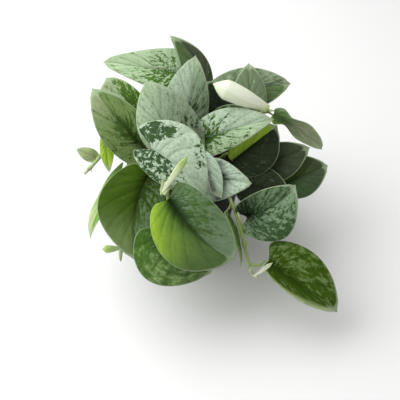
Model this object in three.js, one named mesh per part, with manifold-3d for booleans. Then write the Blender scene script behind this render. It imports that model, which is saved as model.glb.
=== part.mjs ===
// Satin pothos (Scindapsus pictus) in a plastic nursery pot.
// Millimetres, +Z up. The origin is the centre of the pot's flat underside.
// Leaves, vines, new leaves, soil and pot are separate solids in one group.

import * as THREE from 'three';
import { mergeVertices } from 'three/addons/utils/BufferGeometryUtils.js';
import Module from 'manifold-3d';

const wasm = await Module();
wasm.setup();

// ---- driving dimensions ----

const GAP = 0.3;                  // clearance between pieces that touch

const POT_HEIGHT = 105;
const POT_BASE_RADIUS = 43;
const POT_NECK_RADIUS = 55.5;     // outside of the wall just under the rim band
const POT_RIM_RADIUS = 60;
const RIM_BAND_HEIGHT = 12;
const POT_WALL = 1.6;
const POT_FLOOR = 2.4;
const POT_SIDES = 32;
const DRAIN_HOLES = 8;
const DRAIN_RADIUS = 4;
const DRAIN_CIRCLE = 32;

const SOIL_TOP = 93;
const SOIL_RINGS = 4;
const SOIL_CRUMB = 1.6;           // height of the lumps on the soil

const BLADE_THICKNESS = 0.8;
const BLADE_ROWS = 9;             // steps from the leaf's heart notch to its tip
const WIDE_BLADE = 54;            // from this width on a leaf has one more step across each half
const SHOULDER = 0.9;             // under 1 makes the leaf's shoulders squarer
const TAPER = 0.75;               // how much narrower the tip end is than a half circle
const LOBE_REACH = 0.3;           // how far round the outline the heart notch is felt
const VEIN_SLANT = 2.2;           // over 1 crowds the side veins' roots towards the base
const VEIN_BOW = 1.4;             // over 1 bows the side veins towards the tip
const MARGIN_WAVE = 0.9;          // height of the slow wave along a leaf's margin
const MARGIN_WAVE_RATE = 9;       // radians of that wave over a leaf's length
const WAVE_STEP = 2.4;            // radians that the wave is shifted from one leaf to the next
const HOOK_START = 0.67;          // where along the midrib the drip tip begins to bend

const PETIOLE_RADIUS = 1.5;
const PETIOLE_SIDES = 5;
const PETIOLE_STEPS = 5;
const PETIOLE_ARCH = 0.1;         // rise of a petiole's middle, in petiole lengths
const PETIOLE_TURN = 7;           // longest stretch in which a petiole turns into the blade
const RIB_REACH = 0.12;           // how far the petiole runs on under the blade, in blade lengths

const VINE_RADIUS = 2.1;
const VINE_SIDES = 6;
const VINE_STEP = 9;              // length of one step along a vine
const VINE_THINNING = 0.25;       // share of its radius that a vine loses by its tip
const NODE_EVERY = 4;             // steps from one node of a vine to the next
const NODE_SWELLING = 0.45;       // how far a vine's nodes stand out

// ---- materials ----

const finish = (color, roughness) => new THREE.MeshStandardMaterial({ color, roughness, metalness: 0 });

const MATERIALS = {
  silver: finish(0x9db59f, 0.55),
  mottled: finish(0x5f8a5c, 0.5),
  dark: finish(0x2f4a34, 0.5),
  fresh: finish(0x6f9a3a, 0.45),
  lime: finish(0x9cc043, 0.45),
  cream: finish(0xc9d8a8, 0.5),
  stem: finish(0x8fae5a, 0.55),
  soil: finish(0x2f241c, 0.95),
  pot: finish(0x17181a, 0.6),
};

// ---- small helpers ----

const vec = (p) => new THREE.Vector3(p[0], p[1], p[2]);
const rad = THREE.MathUtils.degToRad;

function seeded(seed) {
  let state = seed;
  return () => {
    state = (state * 16807) % 2147483647;
    return state / 2147483647;
  };
}

function toSolid(geometry) {
  const bare = geometry.index ? geometry.clone() : geometry;
  bare.deleteAttribute('normal');
  bare.deleteAttribute('uv');
  const merged = mergeVertices(bare, 1e-4);
  return new wasm.Manifold(new wasm.Mesh({
    numProp: 3,
    vertProperties: new Float32Array(merged.attributes.position.array),
    triVerts: new Uint32Array(merged.index.array),
  }));
}

function toGeometry(solid) {
  const mesh = solid.getMesh();
  const geometry = new THREE.BufferGeometry();
  geometry.setAttribute('position', new THREE.BufferAttribute(mesh.vertProperties, 3));
  geometry.setIndex(new THREE.BufferAttribute(mesh.triVerts, 1));
  return geometry;
}

// Drops the scraps that a cut leaves beside the main body.
function largest(solid) {
  const bodies = solid.decompose();
  return bodies.reduce((best, body) => (body.volume() > best.volume() ? body : best));
}

// Closed skin over a row of rings with the same number of points, capped at both ends.
function loft(rings) {
  const sides = rings[0].length;
  const positions = rings.flat().flatMap((p) => [p.x, p.y, p.z]);
  const faces = [];
  for (let r = 0; r + 1 < rings.length; r += 1) {
    for (let k = 0; k < sides; k += 1) {
      const a = r * sides + k;
      const b = r * sides + (k + 1) % sides;
      faces.push(a, b, a + sides, b, b + sides, a + sides);
    }
  }
  const last = (rings.length - 1) * sides;
  for (let k = 1; k + 1 < sides; k += 1) {
    faces.push(0, k + 1, k);
    faces.push(last, last + k, last + k + 1);
  }
  const geometry = new THREE.BufferGeometry();
  geometry.setAttribute('position', new THREE.Float32BufferAttribute(positions, 3));
  geometry.setIndex(faces);
  return geometry;
}

// A round stem along a list of points. radiusAt takes the fraction of the way along.
function tube(points, sides, radiusAt) {
  const rings = [];
  let side = new THREE.Vector3(1, 0.13, 0.07);
  points.forEach((centre, i) => {
    const before = points[Math.max(0, i - 1)];
    const after = points[Math.min(points.length - 1, i + 1)];
    const along = after.clone().sub(before).normalize();
    side = side.clone().addScaledVector(along, -side.dot(along)).normalize();
    const up = along.clone().cross(side);
    const radius = radiusAt(i / (points.length - 1));
    const ring = [];
    for (let k = 0; k < sides; k += 1) {
      const turn = (2 * Math.PI * k) / sides;
      ring.push(centre.clone()
        .addScaledVector(side, radius * Math.cos(turn))
        .addScaledVector(up, radius * Math.sin(turn)));
    }
    rings.push(ring);
  });
  return loft(rings);
}

// ---- vines ----

// Each vine rises out of the soil and runs through hand-set points.
const VINES = {
  front: [[-9, -22, 80], [-10, -27, 99], [-12, -44, 128], [-14, -62, 144], [-18, -75, 152], [-20, -82, 153]],
  low: [[-30, -14, 80], [-33, -20, 99], [-42, -38, 117], [-49, -58, 112], [-55, -80, 100], [-60, -98, 92]],
  left: [[-30, 5, 80], [-33, 5, 99], [-45, 1, 119], [-62, -3, 126], [-76, -6, 128], [-86, -15, 121],
    [-99, -25, 112]],
  back: [[-5, 22, 80], [-5, 24, 99], [-4, 34, 124], [0, 45, 145], [4, 52, 158]],
  centre: [[5, -6, 80], [5, -8, 99], [7, -14, 112], [10, -19, 120]],
  right: [[31, 6, 80], [33, 6, 99], [43, 2, 112], [58, -6, 112], [74, -14, 104], [84, -18, 99]],
  trailing: [[28, -22, 80], [30, -27, 99], [38, -49, 112], [45, -66, 109], [51, -84, 99], [57, -100, 80],
    [62, -110, 66], [67, -112, 64]],
  upper: [[20, 20, 80], [22, 21, 99], [38, 22, 124], [56, 18, 142], [70, 12, 156], [78, 9, 163]],
  rear_left: [[-24, 28, 80], [-26, 31, 99], [-32, 44, 117], [-36, 54, 122]],
  rear_right: [[10, 34, 80], [12, 38, 99], [22, 50, 116], [32, 58, 122]],
};

const vineCurve = (name) => new THREE.CatmullRomCurve3(VINES[name].map(vec), false, 'centripetal');

function vineSolid(name, extra) {
  const curve = vineCurve(name);
  const steps = Math.max(2 * NODE_EVERY, Math.round(curve.getLength() / VINE_STEP));
  const points = curve.getSpacedPoints(steps);
  if (extra > 0) {
    const foot = points[0].clone().sub(points[1]).setLength(extra);
    points[0].add(foot);
    const tip = points[steps].clone().sub(points[steps - 1]).setLength(extra);
    points[steps].add(tip);
  }
  const radiusAt = (f) => {
    const atNode = Math.round(f * steps) % NODE_EVERY === NODE_EVERY - 1;
    return VINE_RADIUS * (1 - VINE_THINNING * f) + (atNode ? NODE_SWELLING : 0) + extra;
  };
  return toSolid(tube(points, VINE_SIDES, radiusAt));
}

// ---- leaves ----

// seat is where the petiole meets the blade, tip is the drip tip, looks is where the
// upper face looks. half holds the widths left and right of the midrib as seen from
// above with the tip forward. Angles are in degrees: bend arches the midrib, hook bends
// its last third, fold raises each half, curl turns each margin down when negative.
// sweep curves the midrib to its left. notch is the reach of each lobe behind the seat, in
// blade lengths. point is low for a wedge-shaped blade, high for a round one.
const LEAVES = [];

function leaf(name, tone, vine, at, seat, tip, shape) {
  LEAVES.push({
    name, tone, vine, at, seat, tip,
    looks: [0, -0.64, 0.77], half: [26, 26], bend: 24, hook: 10,
    fold: [12, 12], curl: [-26, -26], twist: 0, sweep: 0, notch: [0.2, 0.2], point: 4, ...shape,
  });
}

leaf('leaf_front', 'fresh', 'front', 0.97, [-14, -86, 147], [44, -119, 102],
  { half: [31, 35], looks: [-0.1, -0.7, 0.7], bend: 26, fold: [16, 20], sweep: -0.07,
    notch: [0.12, 0.12], point: 6 });
leaf('leaf_centre', 'silver', 'front', 0.55, [-31, -42, 164], [18, -73, 135],
  { half: [36, 23], sweep: 0.05, fold: [12, 14], curl: [-26, -34], notch: [0.38, 0.2] });
leaf('leaf_crown_left', 'silver', 'centre', 0.6, [-4, -20, 141], [-37, 22, 189],
  { half: [27, 31], sweep: 0.05 });
leaf('leaf_crown_top', 'silver', 'back', 0.35, [1, 4, 140], [9, 51, 195],
  { half: [27, 20] });
leaf('leaf_top_left', 'mottled', 'back', 0.95, [-15, 65, 166], [-81, 80, 165],
  { half: [24, 25], sweep: 0, point: 1.2, notch: [0.14, 0.14], bend: 16, hook: 4 });
leaf('leaf_top_dark', 'dark', 'back', 0.8, [18, 51, 149], [-17, 86, 192],
  { half: [10, 12], sweep: -0.13 });
leaf('leaf_left_rear', 'mottled', 'left', 0.2, [-35, 10, 139], [-79, 54, 166],
  { half: [30, 15], point: 9 });
leaf('leaf_left', 'mottled', 'left', 0.35, [-38, -22, 141], [-89, 26, 176],
  { half: [26, 20] });
leaf('leaf_left_small', 'lime', 'left', 0.7, [-78, 0, 134], [-74, -27, 116],
  { half: [7, 7] });
leaf('leaf_left_pale', 'lime', 'left', 0.8, [-88, -12, 121], [-106, -9, 130],
  { half: [7, 7] });
leaf('leaf_left_edge', 'fresh', 'low', 0.35, [-62, -22, 115], [-90, -84, 87],
  { half: [18, 18], looks: [-0.85, -0.3, 0.55] });
leaf('leaf_low_left', 'fresh', 'low', 0.5, [-34, -52, 139], [-43, -115, 92],
  { half: [25, 41], sweep: -0.03 });
leaf('leaf_bottom', 'mottled', 'front', 0.86, [-21, -102, 120], [22, -122, 85],
  { half: [28, 39], notch: [0.2, 0.42], via: [[-17, -90, 126]] });
leaf('leaf_strip', 'silver', 'centre', 0.8, [11, -21, 134], [33, -66, 123],
  { half: [13, 14], notch: [0.1, 0.1] });
leaf('leaf_pointed', 'silver', 'centre', 0.97, [14, -33, 121], [61, -51, 127],
  { half: [20, 28], notch: [0.14, 0.14], point: 2 });
leaf('leaf_right_patterned', 'mottled', 'upper', 0.25, [12, -8, 137], [82, -3, 163],
  { half: [24, 18] });
leaf('leaf_right_folded', 'dark', 'right', 0.45, [44, -16, 121], [87, 5, 148],
  { half: [16, 29], fold: [36, 4], point: 7 });
leaf('leaf_right_dark', 'dark', 'right', 0.75, [72, -11, 108], [120, -3, 126],
  { half: [17, 22] });
leaf('leaf_right_under', 'dark', 'right', 0.6, [62, -32, 103], [102, -41, 95],
  { half: [22, 22], notch: [0.34, 0.38] });
leaf('leaf_right_low', 'dark', 'trailing', 0.45, [56, -75, 108], [101, -53, 128],
  { half: [20, 32], sweep: -0.1, notch: [0.2, 0.3] });
leaf('leaf_far_right', 'dark', 'right', 0.97, [97, -21, 95], [139, -11, 109],
  { half: [22, 22] });
leaf('leaf_bottom_right', 'mottled', 'trailing', 0.88, [76, -105, 79], [142, -137, 42],
  { half: [33, 14], curl: [-26, -50], notch: [0.17, 0.06], via: [[67, -107, 76]] });
leaf('leaf_top', 'dark', 'upper', 0.85, [61, 17, 151], [60, 57, 181],
  { half: [17, 17] });
leaf('leaf_top_rear', 'mottled', 'upper', 0.6, [35, 43, 152], [103, 53, 159],
  { half: [24, 20], notch: [0.26, 0.1] });
leaf('leaf_twisted', 'dark', 'upper', 0.95, [85, 5, 164], [130, -16, 126],
  { half: [12, 9], looks: [0.35, -0.3, 0.77], twist: 100, sweep: 0.05, notch: [0.2, 0.16] });
leaf('leaf_inner_dark', 'dark', 'rear_right', 0.8, [38, 25, 146], [17, 45, 168],
  { half: [17, 17], notch: [0.1, 0.1] });
leaf('leaf_inner_small', 'dark', 'upper', 0.4, [28, 14, 143], [65, 16, 155],
  { half: [14, 14] });

leaf('leaf_rear', 'mottled', 'rear_left', 0.7, [-4, 67, 128], [-18, 104, 76],
  { half: [26, 26], looks: [0, 0.6, 0.8] });
leaf('leaf_rear_left', 'mottled', 'rear_left', 0.95, [-45, 54, 126], [-78, 82, 84],
  { half: [24, 24], looks: [-0.5, 0.5, 0.7] });
leaf('leaf_rear_right', 'dark', 'rear_right', 0.97, [38, 62, 126], [74, 92, 78],
  { half: [26, 26], looks: [0.4, 0.5, 0.7] });
leaf('leaf_side_right', 'dark', 'right', 0.5, [65, 24, 112], [108, 42, 72],
  { half: [23, 23], looks: [0.6, 0.3, 0.7] });
leaf('leaf_trailing_edge', 'fresh', 'trailing', 0.42, [39, -73, 106], [51, -107, 75],
  { half: [7, 7], looks: [0.9, -0.3, 0.3] });
leaf('leaf_rear_high', 'mottled', 'back', 0.7, [-2, 60, 141], [-5, 98, 126],
  { half: [21, 21], looks: [0, 0.45, 0.9] });
leaf('leaf_rear_high_right', 'dark', 'upper', 0.5, [47, 50, 136], [80, 72, 122],
  { half: [18, 18], looks: [0.3, 0.4, 0.8] });
leaf('leaf_side_left', 'mottled', 'left', 0.3, [-54, 30, 116], [-75, 57, 72],
  { half: [21, 21], looks: [-0.6, 0.4, 0.6] });
leaf('leaf_inner_left', 'mottled', 'rear_left', 0.5, [-22, 22, 126], [-44, 52, 138],
  { half: [17, 17], looks: [-0.1, 0, 1] });

// Outline of a flat blade: x along the midrib and y across, both in blade lengths
// and half widths, for a point f of the way round from the heart notch to the tip.
function outline(f, notch, point) {
  const turn = Math.PI * f;
  const heart = notch * Math.exp(-((turn / LOBE_REACH) ** 2));
  const x = (1 - notch) / 2 - ((1 + notch) / 2) * Math.cos(turn) + heart;
  const y = Math.sin(turn) ** SHOULDER * (1 - TAPER * ((1 - Math.cos(turn)) / 2) ** point);
  return [x, y];
}

// The midrib in its own plane: heading turns by bend along it and by hook at its end.
function midribCurve(spec) {
  const steps = 40;
  const path = [[0, 0, 0]];
  for (let i = 0; i < steps; i += 1) {
    const m = (i + 0.5) / steps;
    const late = Math.max(0, (m - HOOK_START) / (1 - HOOK_START));
    const heading = -rad(spec.bend) * m - rad(spec.hook) * late * late;
    const [x, z] = path[i];
    path.push([x + Math.cos(heading) / steps, z + Math.sin(heading) / steps, heading]);
  }
  const [endX, endZ] = path[steps];
  const lift = -Math.atan2(endZ, endX);
  const size = vec(spec.tip).sub(vec(spec.seat)).length() / Math.hypot(endX, endZ);
  return (m) => {
    const at = Math.min(Math.max(m, 0), 1) * steps;
    const i = Math.min(Math.floor(at), steps - 1);
    const part = at - i;
    const heading = (i === 0 ? path[1][2] : path[i][2]) * (1 - part) + path[i + 1][2] * part;
    let x = path[i][0] * (1 - part) + path[i + 1][0] * part;
    let z = path[i][1] * (1 - part) + path[i + 1][1] * part;
    if (m < 0) {
      x += m * Math.cos(heading);
      z += m * Math.sin(heading);
    }
    return {
      x: size * (x * Math.cos(lift) - z * Math.sin(lift)),
      z: size * (x * Math.sin(lift) + z * Math.cos(lift)),
      heading: heading + lift,
      size,
    };
  };
}

// Places a point of the flat blade in space. Returns its position and its face normal.
function bladeSurface(spec) {
  const seat = vec(spec.seat);
  const chord = vec(spec.tip).sub(seat).normalize();
  const looks = vec(spec.looks);
  const face = looks.addScaledVector(chord, -looks.dot(chord)).normalize();
  const left = face.clone().cross(chord);
  const midrib = midribCurve(spec);
  const phase = WAVE_STEP * LEAVES.indexOf(spec);
  return (x, y) => {
    const hand = y < 0 ? 1 : 0;
    const half = spec.half[hand];
    const across = Math.abs(y);
    const fold = rad(spec.fold[hand]);
    const curl = rad(spec.curl[hand]) || 1e-6;
    const lean = fold + curl * across;
    const out = (half * (Math.sin(lean) - Math.sin(fold))) / curl;
    const wave = MARGIN_WAVE * across * across * Math.sin(MARGIN_WAVE_RATE * x + phase + 2 * hand);
    const rise = (half * (Math.cos(fold) - Math.cos(lean))) / curl + wave;
    const m = midrib(x);
    const turn = rad(spec.twist) * (x - 0.5);
    const sign = hand ? -1 : 1;
    const sideways = sign * out * Math.cos(turn) - rise * Math.sin(turn)
      + spec.sweep * m.size * 4 * x * (1 - x);
    const upward = rise * Math.cos(turn) + sign * out * Math.sin(turn);
    const position = seat.clone()
      .addScaledVector(chord, m.x - upward * Math.sin(m.heading))
      .addScaledVector(face, m.z + upward * Math.cos(m.heading))
      .addScaledVector(left, sideways);
    const tilt = (across === 0 ? 0 : sign * lean) + turn;
    const normal = face.clone().multiplyScalar(Math.cos(m.heading) * Math.cos(tilt))
      .addScaledVector(chord, -Math.sin(m.heading) * Math.cos(tilt))
      .addScaledVector(left, -Math.sin(tilt));
    return { position, normal };
  };
}

// The blade as a thin closed sheet. Rows follow the side veins from midrib to margin.
function bladeGeometry(spec) {
  const surface = bladeSurface(spec);
  const rows = BLADE_ROWS;
  const columns = spec.half[0] + spec.half[1] >= WIDE_BLADE ? 3 : 2;
  const points = [];
  for (let i = 0; i <= rows; i += 1) {
    const f = i / rows;
    const pointed = i === 0 || i === rows;
    const rootX = f ** VEIN_SLANT;
    for (let j = -columns; j <= columns; j += 1) {
      const t = Math.abs(j) / columns;
      const [edgeX, edgeY] = outline(f, spec.notch[j > 0 ? 1 : 0], spec.point);
      const x = pointed ? edgeX : rootX + (edgeX - rootX) * t ** VEIN_BOW;
      const y = pointed ? 0 : -Math.sign(j) * edgeY * t;
      points.push(surface(x, y));
    }
  }
  const across = 2 * columns + 1;
  const count = points.length;
  const positions = [];
  for (const side of [0.5, -0.5]) {
    for (const p of points) {
      const q = p.position.clone().addScaledVector(p.normal, side * BLADE_THICKNESS);
      positions.push(q.x, q.y, q.z);
    }
  }
  const faces = [];
  const triangle = (a, b, c) => {
    faces.push(a, b, c);
    faces.push(a + count, c + count, b + count);
  };
  for (let i = 0; i < rows; i += 1) {
    for (let j = 0; j + 1 < across; j += 1) {
      const a = i * across + j;
      const b = a + 1;
      const c = a + across;
      const d = c + 1;
      if (i === 0) {
        triangle(a, d, c);
      } else if (i === rows - 1) {
        triangle(a, b, c);
      } else if (j < columns) {
        triangle(a, b, d);
        triangle(a, d, c);
      } else {
        triangle(a, b, c);
        triangle(b, d, c);
      }
    }
    for (const [j, flip] of [[0, true], [across - 1, false]]) {
      const a = i * across + j;
      const b = a + across;
      if (flip) {
        faces.push(a, b, a + count, b, b + count, a + count);
      } else {
        faces.push(a, a + count, b, b, a + count, b + count);
      }
    }
  }
  const geometry = new THREE.BufferGeometry();
  geometry.setAttribute('position', new THREE.Float32BufferAttribute(positions, 3));
  geometry.setIndex(faces);
  return geometry;
}

// The petiole springs from the vine and runs on under the blade as its midrib.
function petioleGeometry(spec) {
  const root = vineCurve(spec.vine).getPointAt(spec.at);
  const seat = vec(spec.seat);
  const surface = bladeSurface(spec);
  const under = surface(0.02, 0);
  const rib = surface(RIB_REACH, 0);
  const reach = root.distanceTo(seat);
  const out = seat.clone().sub(root).normalize();
  const end = under.position.clone().addScaledVector(under.normal, -0.6 * BLADE_THICKNESS);
  const ribEnd = rib.position.clone().addScaledVector(rib.normal, -0.45 * BLADE_THICKNESS);
  const arch = root.clone().lerp(seat, 0.45).add(new THREE.Vector3(0, 0, PETIOLE_ARCH * reach));
  const along = rib.position.clone().sub(seat).setLength(0.45);
  const inward = along.addScaledVector(under.normal, 0.6).addScaledVector(out, 0.3).normalize();
  const turnIn = end.clone().addScaledVector(inward, -Math.min(PETIOLE_TURN, 0.28 * reach));
  const knots = [root, ...(spec.via ? spec.via.map(vec) : [arch]), turnIn, end];
  const curve = new THREE.CatmullRomCurve3(knots, false, 'centripetal');
  const points = [...curve.getSpacedPoints(PETIOLE_STEPS), ribEnd];
  const radiusAt = (f) => PETIOLE_RADIUS * (f === 1 ? 0.35 : 1.1 - 0.3 * f);
  return tube(points, PETIOLE_SIDES, radiusAt);
}

function leafSolid(spec) {
  const blade = toSolid(bladeGeometry(spec));
  const petiole = toSolid(petioleGeometry(spec));
  const whole = blade.add(petiole);
  return largest(whole.subtract(vineSolid(spec.vine, GAP)));
}

// ---- new leaves still rolled up ----

// A rolled blade is a slim spindle, blunt at its tip, with the free margin standing as a
// step along it. open is the height of that step in radii.
function rolledLeaf({ base, tip, width, open }) {
  const sides = 10;
  const steps = 8;
  const bluntFrom = 0.75;
  const start = vec(base);
  const along = vec(tip).sub(start);
  const length = along.length();
  along.normalize();
  const side = new THREE.Vector3(0, 0, 1).cross(along).normalize();
  const up = along.clone().cross(side);
  const rings = [];
  for (let i = 0; i <= steps; i += 1) {
    const f = i / steps;
    const body = 0.32 + 0.68 * Math.sin(Math.PI * (0.05 + 0.62 * f)) ** 1.2;
    const past = Math.max(0, (f - bluntFrom) / (1 - bluntFrom));
    const close = Math.sqrt(Math.max(0.02, 1 - past * past));
    const radius = 0.5 * width * body * close;
    const centre = start.clone().addScaledVector(along, f * length)
      .addScaledVector(up, 0.05 * length * Math.sin(Math.PI * f));
    const ring = [];
    for (let k = 0; k < sides; k += 1) {
      const turn = (2 * Math.PI * k) / sides + 0.9 + 0.5 * f;
      const r = radius * (1 + (open * k) / sides);
      ring.push(centre.clone()
        .addScaledVector(side, r * Math.cos(turn))
        .addScaledVector(up, r * Math.sin(turn)));
    }
    rings.push(ring);
  }
  return toSolid(loft(rings));
}

const ROLLED = [];

function rolled(name, tone, vine, base, tip, width, open) {
  ROLLED.push({ name, tone, vine, base, tip, width, open });
}

rolled('new_leaf_upper', 'cream', 'upper', [76, 9, 166], [25, 19, 187], 16.5, 0.15);
rolled('new_leaf_front', 'lime', 'front', [-20, -84, 152], [3, -66, 180], 5, 0.2);
rolled('bud_low', 'lime', 'low', [-61, -99, 92], [-78, -104, 92], 8, 0.3);
rolled('bud_trailing', 'lime', 'trailing', [67, -112, 64], [82, -110, 72], 5, 0.2);

// ---- pot and soil ----

// Inside radius of the pot's wall at a height.
function potInside(z) {
  const f = z / (POT_HEIGHT - RIM_BAND_HEIGHT);
  return POT_BASE_RADIUS + (POT_NECK_RADIUS - POT_BASE_RADIUS) * f - POT_WALL;
}

function potSolid() {
  const neck = POT_HEIGHT - RIM_BAND_HEIGHT;
  const profile = [
    [0, 0], [POT_BASE_RADIUS - 1.5, 0], [POT_BASE_RADIUS, 1.5],
    [POT_NECK_RADIUS, neck - 1], [POT_RIM_RADIUS - 1.4, neck],
    [POT_RIM_RADIUS - 1.0, POT_HEIGHT - 3], [POT_RIM_RADIUS, POT_HEIGHT - 2], [POT_RIM_RADIUS, POT_HEIGHT],
    [POT_RIM_RADIUS - 2.6, POT_HEIGHT], [POT_RIM_RADIUS - 3.0, neck + 1.6],
    [potInside(neck), neck], [potInside(POT_FLOOR), POT_FLOOR], [0, POT_FLOOR],
  ].map(([x, y]) => new THREE.Vector2(x, y));
  const shell = new THREE.LatheGeometry(profile, POT_SIDES);
  shell.rotateX(Math.PI / 2);
  let pot = toSolid(shell);
  for (let k = 0; k < DRAIN_HOLES; k += 1) {
    const turn = (2 * Math.PI * (k + 0.5)) / DRAIN_HOLES;
    const drill = new THREE.CylinderGeometry(DRAIN_RADIUS, DRAIN_RADIUS, 4 * POT_FLOOR, 8);
    drill.rotateX(Math.PI / 2);
    drill.translate(DRAIN_CIRCLE * Math.cos(turn), DRAIN_CIRCLE * Math.sin(turn), 0);
    pot = pot.subtract(toSolid(drill));
  }
  return pot;
}

function soilSolid() {
  const random = seeded(41);
  const bottom = POT_FLOOR + GAP;
  const profile = [new THREE.Vector2(0, bottom), new THREE.Vector2(potInside(bottom) - GAP, bottom)];
  const edge = potInside(SOIL_TOP - 2) - GAP;
  profile.push(new THREE.Vector2(edge, SOIL_TOP - 2));
  for (let k = SOIL_RINGS - 1; k >= 0; k -= 1) {
    profile.push(new THREE.Vector2((edge * k) / SOIL_RINGS, SOIL_TOP));
  }
  const body = new THREE.LatheGeometry(profile, POT_SIDES / 2);
  body.rotateX(Math.PI / 2);
  body.deleteAttribute('normal');
  body.deleteAttribute('uv');
  const lumpy = mergeVertices(body, 1e-3);
  const place = lumpy.attributes.position;
  for (let i = 0; i < place.count; i += 1) {
    if (place.getZ(i) > SOIL_TOP - 1) {
      place.setZ(i, SOIL_TOP + SOIL_CRUMB * (random() - 0.5) * 2);
    }
  }
  let soil = toSolid(lumpy);
  for (const name of Object.keys(VINES)) {
    soil = soil.subtract(vineSolid(name, GAP));
  }
  return soil;
}

// ---- the plant ----

const plant = new THREE.Group();
plant.name = 'satin_pothos';

function addPiece(name, solid, tone) {
  const mesh = new THREE.Mesh(toGeometry(solid), MATERIALS[tone]);
  mesh.name = name;
  plant.add(mesh);
}

addPiece('pot', potSolid(), 'pot');
addPiece('soil', soilSolid(), 'soil');
for (const name of Object.keys(VINES)) {
  addPiece(`vine_${name}`, vineSolid(name, 0), 'stem');
}
for (const spec of LEAVES) {
  addPiece(spec.name, leafSolid(spec), spec.tone);
}
for (const roll of ROLLED) {
  const cut = rolledLeaf(roll).subtract(vineSolid(roll.vine, GAP));
  addPiece(roll.name, largest(cut), roll.tone);
}

export default plant;
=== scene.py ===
"""Satin pothos in its nursery pot: fine leaves, stems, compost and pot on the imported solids.

Metres, +Z up. The origin is the centre of the pot's flat underside.
"""

import math
import random

import bmesh
import bpy
from bpy.props import FloatProperty, FloatVectorProperty, IntProperty, PointerProperty
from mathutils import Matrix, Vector, noise


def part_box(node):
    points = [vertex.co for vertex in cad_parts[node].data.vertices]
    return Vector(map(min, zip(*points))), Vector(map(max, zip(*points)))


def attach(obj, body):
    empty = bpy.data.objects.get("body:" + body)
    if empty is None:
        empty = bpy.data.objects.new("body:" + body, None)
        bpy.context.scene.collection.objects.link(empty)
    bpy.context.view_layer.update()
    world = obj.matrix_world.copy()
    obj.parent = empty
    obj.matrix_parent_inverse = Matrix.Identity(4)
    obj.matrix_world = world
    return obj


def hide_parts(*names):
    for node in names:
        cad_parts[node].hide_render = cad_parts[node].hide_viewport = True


bl_info = {
    "name": "Satin Pothos",
    "version": (1, 0, 0),
    "blender": (4, 5, 0),
    "location": "View3D > Sidebar > Satin Pothos",
    "description": "Dresses the potted satin pothos with fine leaves, stems, compost and pot",
    "category": "Object",
}

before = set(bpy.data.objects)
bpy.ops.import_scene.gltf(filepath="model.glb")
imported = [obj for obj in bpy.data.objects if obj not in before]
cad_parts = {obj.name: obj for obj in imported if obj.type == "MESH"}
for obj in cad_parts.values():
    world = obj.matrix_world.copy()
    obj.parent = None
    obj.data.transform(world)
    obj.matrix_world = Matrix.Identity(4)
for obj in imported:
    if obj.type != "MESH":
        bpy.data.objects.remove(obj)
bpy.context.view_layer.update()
ROOT = "root"

_, POT_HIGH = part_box("pot")
_, SOIL_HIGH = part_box("soil")


def colour(code):
    """A colour given as a screen colour code, in the linear values that shaders use."""
    parts = [int(code[i:i + 2], 16) / 255 for i in (1, 3, 5)]
    return [c / 12.92 if c <= 0.04045 else ((c + 0.055) / 1.055) ** 2.4 for c in parts]


def length_property(name, description, default):
    return FloatProperty(name=name, description=description, default=default, min=0, unit="LENGTH",
                         precision=5)


def colour_property(name, description, code):
    return FloatVectorProperty(name=name, description=description, default=colour(code), subtype="COLOR",
                               min=0, max=1, size=3)


# ---- what a user may change ----


class PothosLeafSettings(bpy.types.PropertyGroup):
    """Sizes and colours of the leaf blades."""

    thickness: length_property("Thickness", "Thickness of a blade between its veins", 0.0008)
    margin: length_property("Margin", "Width of the pale line along a blade's margin", 0.00065)
    vein_depth: length_property("Vein depth", "How deep the side veins are pressed in", 0.0003)
    midrib_depth: length_property("Midrib depth", "How deep the midrib is pressed in", 0.0006)
    veins: IntProperty(name="Veins", description="Side veins on each half of a blade", default=8, min=1)
    # silver, pewter and ash are partly the marks' own tints and partly painted light: silver as in full
    # light, pewter as in shade, ash as lit
    silver: colour_property("Silver", "Frosted marks in full light", "#bacdb4")
    pearl: colour_property("Pearl", "Frosted marks on the most silver leaves", "#c8dcc6")
    dew: colour_property("Dew", "Frosted marks of the palest green", "#b4caa6")
    blush: colour_property("Blush", "Frosted marks at the tips of sunlit leaves", "#9ba581")
    dusk: colour_property("Dusk", "Brownish green of the uppermost leaf", "#525c45")
    sage: colour_property("Sage", "Frosted marks on the grey-green leaves", "#9fb693")
    mist: colour_property("Mist", "Frosted marks on the yellow-green leaves", "#98b472")
    pewter: colour_property("Pewter", "Frosted marks on the dark leaves", "#6b8262")
    ash: colour_property("Ash", "Frosted marks on the half of a dark leaf that faces the light", "#7f9876")
    slate: colour_property("Slate", "Faint marks on the darkest leaves", "#4b5641")
    reed: colour_property("Reed", "Dull marks on the leaves of the left side", "#708650")
    fern: colour_property("Fern", "Lively green of the young mottled leaves", "#6c9440")
    leaf: colour_property("Leaf", "Middle green", "#4a6e2c")
    forest: colour_property("Forest", "Deep yellow-green of the plain leaves", "#3c5612")
    moss: colour_property("Moss", "Dull green of the older leaves", "#56703f")
    deep: colour_property("Deep", "Dark green under the frosted marks", "#3f5935")
    olive: colour_property("Olive", "Grey-green of the leaves at the top", "#6f8060")
    night: colour_property("Night", "Darkest green", "#323c2b")
    lime: colour_property("Lime", "Bright green of the youngest leaves", "#a0c340")
    straw: colour_property("Straw", "Pale green of the youngest leaves' tips", "#b4c48c")
    rim: colour_property("Rim", "Pale line along the margin", "#a9bb98")
    underside: colour_property("Underside", "Lower face of a blade", "#8ca07a")


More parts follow.
